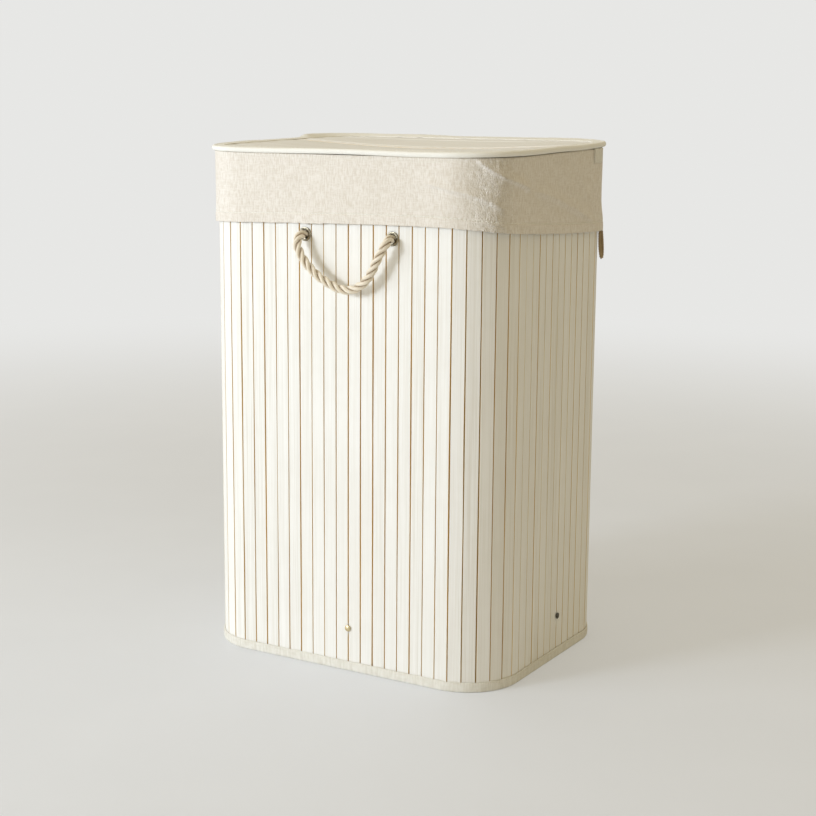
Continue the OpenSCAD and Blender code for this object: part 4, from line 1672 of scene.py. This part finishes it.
@dataclass
class Liner:
    """The cloth bag and the cuff that it turns down over the rim."""

    hem: tuple[tuple[float, float], ...] = (
        (-147, 510.0), (-100, 511.6), (-49, 513.2), (12, 515.0), (90, 516.2), (137, 516.0), (172, 513.8), (189, 511.5),
        (218, 509.3), (314, 502.9), (409, 499.0), (437, 498.8), (500, 501.5), (580, 506.0), (650, 508.5), (760, 507.0),
        (850, 503.0), (950, 503.5), (1050, 507.0),
    )
    creases: tuple[Crease, ...] = (
        Crease(
            (
                (166, 590), (173, 583), (180, 578), (188, 573), (196, 569), (206, 565.5), (216, 562.5), (226, 558.5),
                (238, 553),
            ),
            3.6, 2.0, 2.8, 0.1,
        ),
        Crease(((236, 554), (262, 551), (312, 540), (350, 529), (392, 514), (412, 502)), 2.6, 4.0, 1.8, 0.16),
        Crease(
            ((106, 564), (128, 559), (150, 554), (166, 549.4), (178, 545), (190, 538), (202, 533)), 2.8, 2.2, 2.6, 0.16
        ),
        Crease(((118, 578), (134, 570), (150, 560)), 1.0, 3.6, 2.6, 0.3),
        Crease(((66, 572), (84, 560), (100, 551)), 0.8, 4.0, 2.4, 0.3),
        Crease(((-118, 570), (-112, 548), (-116, 528)), 0.5, 5.0, 1.5, 0.4),
        Crease(((352, 574), (372, 556), (392, 538), (404, 520)), 1.2, 3.4, 2.0, 0.2),
        Crease(((384, 590), (392, 572), (400, 548)), 1.0, 3.6, 1.8, 0.2),
        Crease(((560, 590), (590, 566), (640, 552), (690, 548)), 1.8, 4.0, 2.8, 0.3),
        Crease(((700, 586), (730, 560), (745, 530)), 1.4, 4.0, 2.2, 0.35),
        Crease(((800, 592), (835, 568), (870, 556), (930, 545)), 2.4, 3.0, 3.2, 0.2),
        Crease(((1000, 586), (1035, 566), (1064, 556), (1110, 540)), 2.2, 3.4, 3.0, 0.25),
        Crease(((1090, 586), (1120, 560), (1130, 530)), 1.0, 4.0, 2.2, 0.35),
    )
    seam: float = 207.4 * MM
    hem_tuck: float = 11 * MM
    hang: float = 74 * MM
    rows: int = 74
    thickness: float = 1.1 * MM
    bulge: float = 191 * MM
    over_rim: tuple[tuple[float, float], ...] = (
        (0.4, -1.1), (-0.9, -0.2), (-3.2, 0.0), (-6.2, -0.35), (-9.4, -0.3), (-12.4, 0.0), (-15.0, 0.0), (-17.0, -0.5),
        (-18.0, -1.8), (-18.3, -4), (-18.4, -9), (-18.5, -15),
    )
    inner_edge_z: float = 0.576
    bag_columns: int = 480
    bag_floor: float = 7.3 * MM
    bag_limit: float = -32.5
    pull: float = field(default_factory=lambda: PullCord().s)

    def hem_height(self, s: Array) -> Array:
        """Height of the cuff's hem at distances s round the wall."""
        at, z = np.array(self.hem).T * MM
        near = np.linspace(-12, 12, 9) * MM
        return np.mean([np.interp(s + d, at, z, period=WALL.perimeter) for d in near], 0)

    def crumple(self, s: Array) -> Array:
        """How crumpled the cuff is round its tight corners, 0 to 1."""
        return bell(s, 0.184, 0.024) + 0.5 * bell(s, 0.90, 0.05)

    def cuff_out(self, s: Array, z: Array) -> Array:
        """How far the cuff's outer face stands out from the slats.

        Args:
            s: distances round the wall.
            z: heights.

        Returns:
            Distances out from the slats' face.
        """
        drop = z - self.hem_height(s)
        soft = Ripples(21, 30 * MM, 120 * MM, 1.6)(s, z)
        crinkle = Ripples(22, 5 * MM, 16 * MM, 1.5, 26)(s, z)
        slack = 1 - smooth(z, 0.566, 0.588)
        corner = self.crumple(s)
        ridges = sum(c.height(np.mod(s / MM + 300, WALL.perimeter / MM) - 300, z / MM) for c in self.creases)
        out = 3.9 + 0.28 * soft * (0.3 + slack) + (0.05 + 0.17 * corner) * crinkle + ridges
        out += 0.7 * slack * smooth(-drop, -30 * MM, 0) * (0.6 + 0.4 * np.sin(s * 31 + 1))
        swell = 3.0 * bell(s, self.bulge, np.where(s < self.bulge, 17 * MM, 10 * MM)) - 0.9 * bell(s, 0.212, 9 * MM)
        out += swell * (1 - 0.8 * smooth(z, 0.572, 0.59))
        out -= 0.75 * bell(drop, self.hem_tuck, 0.8 * MM)
        out += 0.35 * (1 - smooth(drop, self.hem_tuck - MM, self.hem_tuck + MM))
        out -= 0.5 * bell(s, self.seam, 0.9 * MM)
        out += 1.8 * bell(s, self.pull, 10 * MM) * (1 - smooth(z, 0.508, 0.535))
        x, y = np.moveaxis(WALL.place(s, 0.0), -1, 0)
        strap = (y > 0.15) * smooth(0.027 - np.abs(np.abs(x) - 0.098), 0, 6 * MM) * smooth(z, 0.530, 0.545)
        out = out * (1 - strap) + 3.75 * strap
        return np.maximum(out, 3.4) * MM

    def build_cuff(self) -> None:
        """Turns the cuff over the rim and sews its hem and its seam."""
        runs = [np.arange(0, 106, 2.5), np.arange(106, 262, 1.2), np.arange(262, 440, 2.2)]
        s = np.concatenate(runs + [np.linspace(440, WALL.perimeter / MM, 206)[:-1]]) * MM
        rim = (LID_PLANE.height(WALL.place(s, -5 * MM)[:, 1]) + 1.45 * MM)[:, None]
        hem = (self.hem_height(s) + 0.25 * MM * Ripples(23, 3 * MM, 9 * MM)(s))[:, None]
        tuck = self.hem_tuck / self.hang
        even = np.linspace(0, 1, self.rows)
        share = np.concatenate([even[np.abs(even - tuck) > 0.03], tuck + np.linspace(-0.03, 0.03, 13), [0.006, 0.014]])
        z = hem + (rim - 2.4 * MM - hem) * np.sort(share)[None, :]
        outs, heights = [self.cuff_out(np.repeat(s[:, None], z.shape[1], 1), z)], [z]
        lumps = Ripples(24, 12 * MM, 50 * MM)
        for dx, dz in self.over_rim:
            bump = np.abs(lumps(s, dx * MM)[:, None] * 0.12 * MM)
            outs.append(np.full_like(rim, (3.9 + dx) * MM))
            heights.append(rim + dz * MM - (bump if -14 < dx < -2 else 0))
        out, z = np.concatenate(outs, 1), np.concatenate(heights, 1)
        z[:, -1] = self.inner_edge_z
        grid = WALL.points(s[:, None], out, z)
        pucker = np.repeat(self.crumple(s)[:, None], out.shape[1], 1).ravel()
        uv = wrapped_uv(s, run_lengths(grid[0]))
        cuff = lay_cloth("liner_cloth_cuff", grid, uv, self.thickness, LINEN, closed=True, pucker=pucker)
        attach(cuff, Body.BASKET, Slot.LINEN, "liner_cuff")
        at = once_round(round(WALL.perimeter / (4.6 * MM)))
        height = self.hem_height(at) + self.hem_tuck
        middle = WALL.points(at, self.cuff_out(at, height) + 0.12 * MM, height)
        end = LINEN_THREAD, Body.BASKET, Slot.LINEN
        hem_stitch, seam_stitch = Stitching(4.3 * MM, 1.0 * MM, 0.3 * MM), Stitching(2.6 * MM, 0.6 * MM)
        hem_stitch.sew("cuff_hem_stitches", middle, WALL.along(at), WALL.outward(at), *end)
        height = np.arange(self.hem_height(self.seam) + 3 * MM, 0.586, 4.2 * MM)
        at = np.full(len(height), self.seam)
        middle = WALL.points(at, self.cuff_out(at, height) + 0.1 * MM, height)
        seam_stitch.sew("cuff_seam_stitches", middle, np.tile(UP, (len(at), 1)), WALL.outward(at), *end)

    def build_bag(self) -> None:
        """Hangs the bag inside the wall."""
        s = once_round(self.bag_columns)
        runs = ((0.584, 0.52, 14), (0.512, 0.03, 70), (0.024, 0.0085, 5))
        falls = np.concatenate([np.linspace(*run) for run in runs])
        base = np.interp(falls, [0.0, 0.517, 0.545, 0.60], [-20.8, -20.8, -13.6, -13.4])
        upright = Ripples(31, 40 * MM, 160 * MM, 5.0, 16)
        small = Ripples(32, 14 * MM, 40 * MM, 3.0, 20)
        su, zu = np.meshgrid(s, falls, indexing="ij")
        loose = smooth(0.575 - zu, 0, 0.12) * (0.35 + 0.65 * smooth(zu, 0.0, 0.1))
        fold = np.maximum(0, upright(su, zu) + 0.25) * 3.0 + np.maximum(0, small(su, zu)) * 0.7
        bent = np.abs(np.sin(2 * WALL.heading(su)))
        out = base[None, :] - (fold * loose + 2.0 * bent * loose) - 6.0 * (1 - smooth(zu, 0.006, 0.03)) ** 2
        wall = WALL.points(su, np.maximum(out, self.bag_limit) * MM, zu)
        centre_x = np.clip(wall[:, -1, 0], -0.06, 0.06)
        middle = np.stack([centre_x, np.zeros(self.bag_columns)], -1)
        shares = np.linspace(0, 1, 26)[1:]
        floor = wall[:, -1:, :2] * (1 - shares)[None, :, None] + middle[:, None, :] * shares[None, :, None]
        creased = np.abs(Ripples(33, 25 * MM, 120 * MM)(floor[..., 0] * 3, floor[..., 1] * 3)) * 0.8 * MM
        level = self.bag_floor + creased * np.sin(math.pi * np.minimum(shares * 1.4, 1))[None, :]
        grid = np.concatenate([wall, np.concatenate([floor, level[..., None]], -1)], 1)
        skin = Skin()
        skin.add(grid, wrapped_uv(s, run_lengths(grid[0])), closed_u=True)
        bag = skin.piece("liner_cloth_bag")
        pick(bag, "VERT", lambda co: True)
        bpy.ops.mesh.remove_doubles(threshold=0.05 * MM)
        close_edit()
        thicken(bag, 1.0 * MM)
        BAG_CLOTH.dress(bag)
        attach(bag, Body.BASKET, Slot.LINEN, "liner_bag")

    def build(self) -> None:
        """Makes the liner."""
        self.build_cuff()
        self.build_bag()


# ---- lid


@dataclass
class Lid:
    """The slatted lid with its taped edge, hinge straps and side tab."""

    kind: SlatKind = LID_SLAT
    panel_out: float = 1.9 * MM
    rows: int = 19
    row_pitch: float = 16.2 * MM
    underside: float = 2.05 * MM
    sag: float = 7.5 * MM
    rim: float = 14.2 * MM
    backing_grid: tuple[int, int] = (60, 90)
    tape_columns: int = 600
    tape_reach: float = 8.5 * MM
    stitch_out: float = -6.9 * MM
    stitch_pitch: float = 5.0 * MM
    wire_radius: float = 1.95 * MM
    wire_sides: int = 10
    curl: float = 3.4 * MM
    back_rise: float = 0.7 * MM
    strap_x: float = 0.098
    strap_y: float = 0.1579
    strap_width: float = 0.040
    strap_stitch_pitch: float = 4.4 * MM
    tab_width: float = 20.6 * MM
    tab_drop: float = 17 * MM
    tab_y: float = 0.088

    def dip(self, x: Values, y: Values) -> Array:
        """How far the panel sags at x, y inside the rim of the cuff that it lies on."""
        reach_y = WALL.depth / 2 - self.rim
        beyond = np.maximum(np.abs(y) - WALL.side_run / 2, 0)
        reach_x = WALL.front_run / 2 + np.sqrt(np.maximum((WALL.radius - self.rim) ** 2 - beyond**2, 0))
        lengthwise = np.maximum(1 - (x / reach_x) ** 2, 0) ** 1.2
        crosswise = np.maximum(1 - (y / reach_y) ** 2, 0) ** 1.1
        return self.sag * lengthwise * crosswise

    def row_end(self, y: Array) -> Array:
        """Half length of the panel at y, less a little for the cut."""
        radius = WALL.radius + self.panel_out
        beyond = np.clip(np.abs(y) - WALL.side_run / 2, 0, radius)
        return WALL.front_run / 2 + np.sqrt(np.maximum(radius**2 - beyond**2, 0)) - 0.2 * MM

    def laid_slat(self, blank: Piece, row: int) -> Piece:
        """Copies the blank, makes it a little uneven and lays it in its row.

        Args:
            blank: the slat to copy.
            row: number of the row, from the front.

        Returns:
            The slat, sagged with the panel.
        """
        rng = np.random.default_rng(300 + row)
        slat = copy_piece(blank, f"lid_slat_{row}")
        points = points_of(slat)
        share, across, up = points[:, 0] * 2, points[:, 1], points[:, 2] + self.kind.thickness / 2
        self.kind.mark(slat, row, across, share * 0.19, self.kind.thickness - up, rng)

        def wobble() -> Array:
            """A small wander in millimetres along the slat."""
            return sum(
                rng.normal(0, 0.06) * np.sin(math.pi * (share * rng.uniform(0.5, 3) + rng.uniform(0, 2)))
                for _ in range(3)
            )

        middle = (row + 0.5 - self.rows / 2) * self.row_pitch
        y = middle + across + self.kind.wander(across, rng, wobble)
        x = share * self.row_end(y)
        step = 0.2 * MM
        slope = (self.dip(x, middle + step) - self.dip(x, middle - step)) / (2 * step)
        high = up / self.kind.thickness
        level = self.underside + up - self.dip(x, middle) - slope * across + rng.normal(0, 0.12) * MM * high
        level += np.clip(rng.normal(0, 0.035), -0.06, 0.06) * across * high
        crown = self.kind.crown(across) * (up > self.kind.thickness * 0.6)
        move_points(slat, LID_PLANE.lift(np.stack([x, y, level + crown], -1)))
        return slat

    def build_slats(self) -> None:
        """Lays the panel's slats, which sag between the front and back edges."""
        size = (1.0, self.kind.width, self.kind.thickness)
        blank = self.kind.cut("lid_slat", (0, 0, 0), size, 1, 0, lambda point: point.z > 0)
        panel = joined("lid_bamboo_slats", [self.laid_slat(blank, row) for row in range(self.rows)])
        bpy.data.objects.remove(blank)
        shade(panel, SLAT_SHARP)
        PAINTED.dress(panel)
        attach(panel, Body.LID, Slot.PAINTED_BAMBOO, "lid_slats")

    def build_backing(self) -> None:
        """Stretches the cloth under the panel's slats."""
        across, along = self.backing_grid
        y = np.linspace(-1, 1, across) * (WALL.depth / 2 + self.panel_out - 0.3 * MM)
        x = np.linspace(-1, 1, along)[:, None] * self.row_end(y)
        y = np.repeat(y[None, :], along, 0)
        z = 1.75 * MM - self.dip(x, y) + Ripples(41, 20 * MM, 90 * MM)(x, y) * 0.08 * MM
        grid = LID_PLANE.lift(np.stack([x, y, z], -1))
        cloth = lay_cloth("lid_backing_cloth", grid, np.stack([x, y], -1), 0.7 * MM, PANEL_BACK)
        attach(cloth, Body.LID, Slot.BACKING, "lid_backing")

    def edge_line(self, s: Array) -> tuple[Array, Array]:
        """Wander of the lid's edge, which curls up at the back left corner: out and up, at distances s round it."""
        out = Ripples(51, 90 * MM, 400 * MM)(s) * 0.35 * MM
        up = Ripples(52, 90 * MM, 400 * MM)(s) * 0.3 * MM
        start = WALL.bends[1]
        back = WALL.bends[2] + WALL.bend_run - s
        past = 1 - smooth(-back, 9 * MM, 27 * MM)
        lifted = np.where(back > 0, np.exp(-np.maximum(back, 0) / (110 * MM)), past) * (s > start)
        along_back = smooth(s, start - 60 * MM, start + 40 * MM) * smooth(back, -40 * MM, 20 * MM)
        return out, up + self.curl * lifted + self.back_rise * along_back

    def build_tape(self) -> None:
        """Folds the tape round the lid's edge, over its wire."""
        s = once_round(self.tape_columns)
        profile = [
            (-8.5, 0.05), (-5.5, 0.0), (-2.5, 0.0), (0.5, 0.0), (3.4, 0.0), (5.4, 0.15), (6.6, 0.75), (7.3, 1.8),
            (7.5, 3.0), (7.3, 4.3), (6.6, 5.35), (5.4, 5.95), (3.8, 6.0), (2.4, 5.75), (0.8, 5.55), (-1.5, 5.55),
            (-4.0, 5.5), (-6.0, 5.55), (-6.9, 5.35), (-7.7, 5.6), (-8.5, 5.5),
        ]
        out, z = spread(profile, self.tape_columns)
        drift, up = self.edge_line(s)
        lump = Ripples(53, 5 * MM, 30 * MM)(s[:, None], out)
        outer = smooth(out, -4 * MM, 4 * MM)
        z = z + lump * 0.04 * MM * (z > 3 * MM) + up[:, None] * smooth(out, -self.tape_reach, 3 * MM)
        z += Ripples(54, 6 * MM, 40 * MM)(s)[:, None] * 0.1 * MM * (1 - outer) * (z > 3 * MM)
        inner = 1 - smooth(out, -self.tape_reach, -7 * MM)
        out = out + drift[:, None] * outer + inner * 0.25 * MM * Ripples(55, 5 * MM, 30 * MM)(s)[:, None]
        grid = LID_PLANE.lift(WALL.points(s[:, None], out, z))
        uv = wrapped_uv(s, run_lengths(np.array(profile) * MM))
        tape = lay_cloth("lid_edge_tape", grid, uv, 0.8 * MM, LID_TAPE, closed=True)
        attach(tape, Body.LID, Slot.TAPE, "lid_tape")
        at = once_round(round(WALL.perimeter / self.stitch_pitch))
        upward = np.tile([0.0, -math.sin(LID_PLANE.rise), math.cos(LID_PLANE.rise)], (len(at), 1))
        for name, level, facing in (("lid_tape", 5.45 * MM, upward), ("lid_tape_under", 0.0, -upward)):
            middle = LID_PLANE.lift(WALL.points(at, self.stitch_out, level))
            Stitching().sew(f"{name}_stitches", middle, WALL.along(at), facing, WHITE_THREAD, Body.LID, Slot.TAPE)

    def build_wire(self) -> None:
        """Bends the wire hoop inside the edge."""
        s = once_round(360)
        drift, up = self.edge_line(s)
        turn = -np.arange(self.wire_sides) / self.wire_sides * 2 * math.pi
        out = 4.3 * MM + drift[:, None] * 0.8 + self.wire_radius * np.cos(turn)
        z = 3.05 * MM + up[:, None] * 0.97 + self.wire_radius * np.sin(turn)
        uv = wrapped_uv(s, np.arange(self.wire_sides + 1) * 1.2 * MM)
        skin = Skin()
        skin.add(LID_PLANE.lift(WALL.points(s[:, None], out, z)), uv, closed_u=True, closed_v=True)
        wire = skin.piece("lid_wire_hoop")
        STEEL.dress(wire)
        attach(wire, Body.LID, Slot.STEEL, "lid_wire")

    def build_straps(self) -> None:
        """Lays the two hinge straps and sews their feet to the cuff."""
        profile = np.array([
            (157.45, 544.0, 0), (157.75, 552, 0), (157.75, 564, 0), (157.75, 576, 0), (157.75, 586, 0),
            (157.85, 590.5, 0), (158.2, 593.2, 0), (159.2, 595.2, 0), (160.6, 596.8, 0), (161.3, 598.2, 0),
            (161.5, 600.0, 0), (161.45, 602.0, 0),
        ]) * MM
        fine = smooth_line(profile, 1.2 * MM)[:, :2]
        x = np.linspace(-0.5, 0.5, 26)[::-1, None] * self.strap_width
        for name, middle in (("left", -self.strap_x), ("right", self.strap_x)):
            lumps = Ripples(61, 8 * MM, 30 * MM)(x + middle, fine[:, 1]) * 0.05 * MM
            grid = np.stack(np.broadcast_arrays(x + middle, fine[:, 0] + lumps, fine[:, 1]), -1)
            uv = np.stack(np.meshgrid(x[:, 0], run_lengths(fine), indexing="ij"), -1)
            strap = lay_cloth(f"{name}_hinge_strap", grid, uv, 0.8 * MM, TAPE)
            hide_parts("hinge_straps", "lid_strap_ends")
            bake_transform(strap)
            self.sew_strap(name, middle)

    def sew_strap(self, name: str, middle: float) -> None:
        """Sews a box of stitches through a strap's foot."""
        half, low, high = self.strap_width / 2 - 3 * MM, 0.547, 0.566
        level = [(x, z) for x in np.arange(-half + 2 * MM, half, self.strap_stitch_pitch) for z in (low, high)]
        upright = [(x, z) for z in np.arange(low + 2 * MM, high, self.strap_stitch_pitch) for x in (-half, half)]
        at = np.array([(middle + x, self.strap_y, z) for x, z in level + upright])
        along = np.array([(1.0, 0.0, 0.0)] * len(level) + [(0.0, 0.0, 1.0)] * len(upright))
        out = np.tile([0.0, 1.0, 0.0], (len(at), 1))
        stitch = Stitching(3.2 * MM, 0.7 * MM)
        stitch.sew(f"{name}_strap_stitches", at, along, out, WHITE_THREAD, Body.BASKET, Slot.TAPE)

    def build_tab(self) -> None:
        """Folds the side tab and sews it under the lid's edge."""
        out = WALL.width / 2
        legs = [
            (6.0, 0, 0), (6.0, -4, 0), (6.05, -9, 0), (6.1, -13.5, 0), (6.0, -16.0, 0), (5.55, -16.8, 0),
            (4.9, -16.8, 0), (4.4, -16.0, 0), (4.25, -13.5, 0), (4.25, -9, 0), (4.3, -4, 0), (4.3, 0, 0),
        ]
        line = smooth_line(np.array(legs) * MM, 0.7 * MM)
        y = np.linspace(-0.5, 0.5, 16)[:, None] * self.tab_width
        grid = np.stack(np.broadcast_arrays(out + line[:, 0], self.tab_y + y, line[:, 1]), -1)
        grid[..., 1] += (grid[..., 2] / self.tab_drop) * 0.4 * MM * np.sign(y)
        uv = np.stack(np.meshgrid(y[:, 0], run_lengths(line), indexing="ij"), -1)
        tab = lay_cloth("lid_side_tab", LID_PLANE.lift(grid[:, ::-1]), uv[:, ::-1], 0.7 * MM, TAPE)
        attach(tab, Body.LID, Slot.TAPE, "lid_tab")
        at = np.array([(out + 6.05 * MM, self.tab_y + y, -2.6 * MM) for y in np.linspace(-8, 8, 5) * MM])
        along, facing = np.tile([0.0, 1.0, 0.0], (len(at), 1)), np.tile([1.0, 0.0, 0.0], (len(at), 1))
        stitch = Stitching(3.0 * MM, 0.6 * MM)
        stitch.sew("tab_stitches", LID_PLANE.lift(at), along, facing, WHITE_THREAD, Body.LID, Slot.TAPE)

    def build(self) -> None:
        """Makes the lid."""
        self.build_slats()
        self.build_backing()
        self.build_tape()
        self.build_wire()
        self.build_straps()
        self.build_tab()


# ---- the whole hamper


def main() -> None:
    """Builds every sub-assembly in order."""
    logging.basicConfig(level=logging.INFO, format="%(message)s")
    studio = Studio()
    studio.set_camera()
    front, back = WALL.handle_joints
    for part in (
        RopeHandle("front", Body.FRONT_HANDLE, front),
        RopeHandle("back", Body.BACK_HANDLE, back),
        PullCord(),
        SlatWall(),
        Liner(),
        Lid(),
    ):
        LOG.info("building %s", type(part).__name__)
        part.build()
    studio.lay_floor()
    studio.light()


if __name__ == "__main__":
    main()
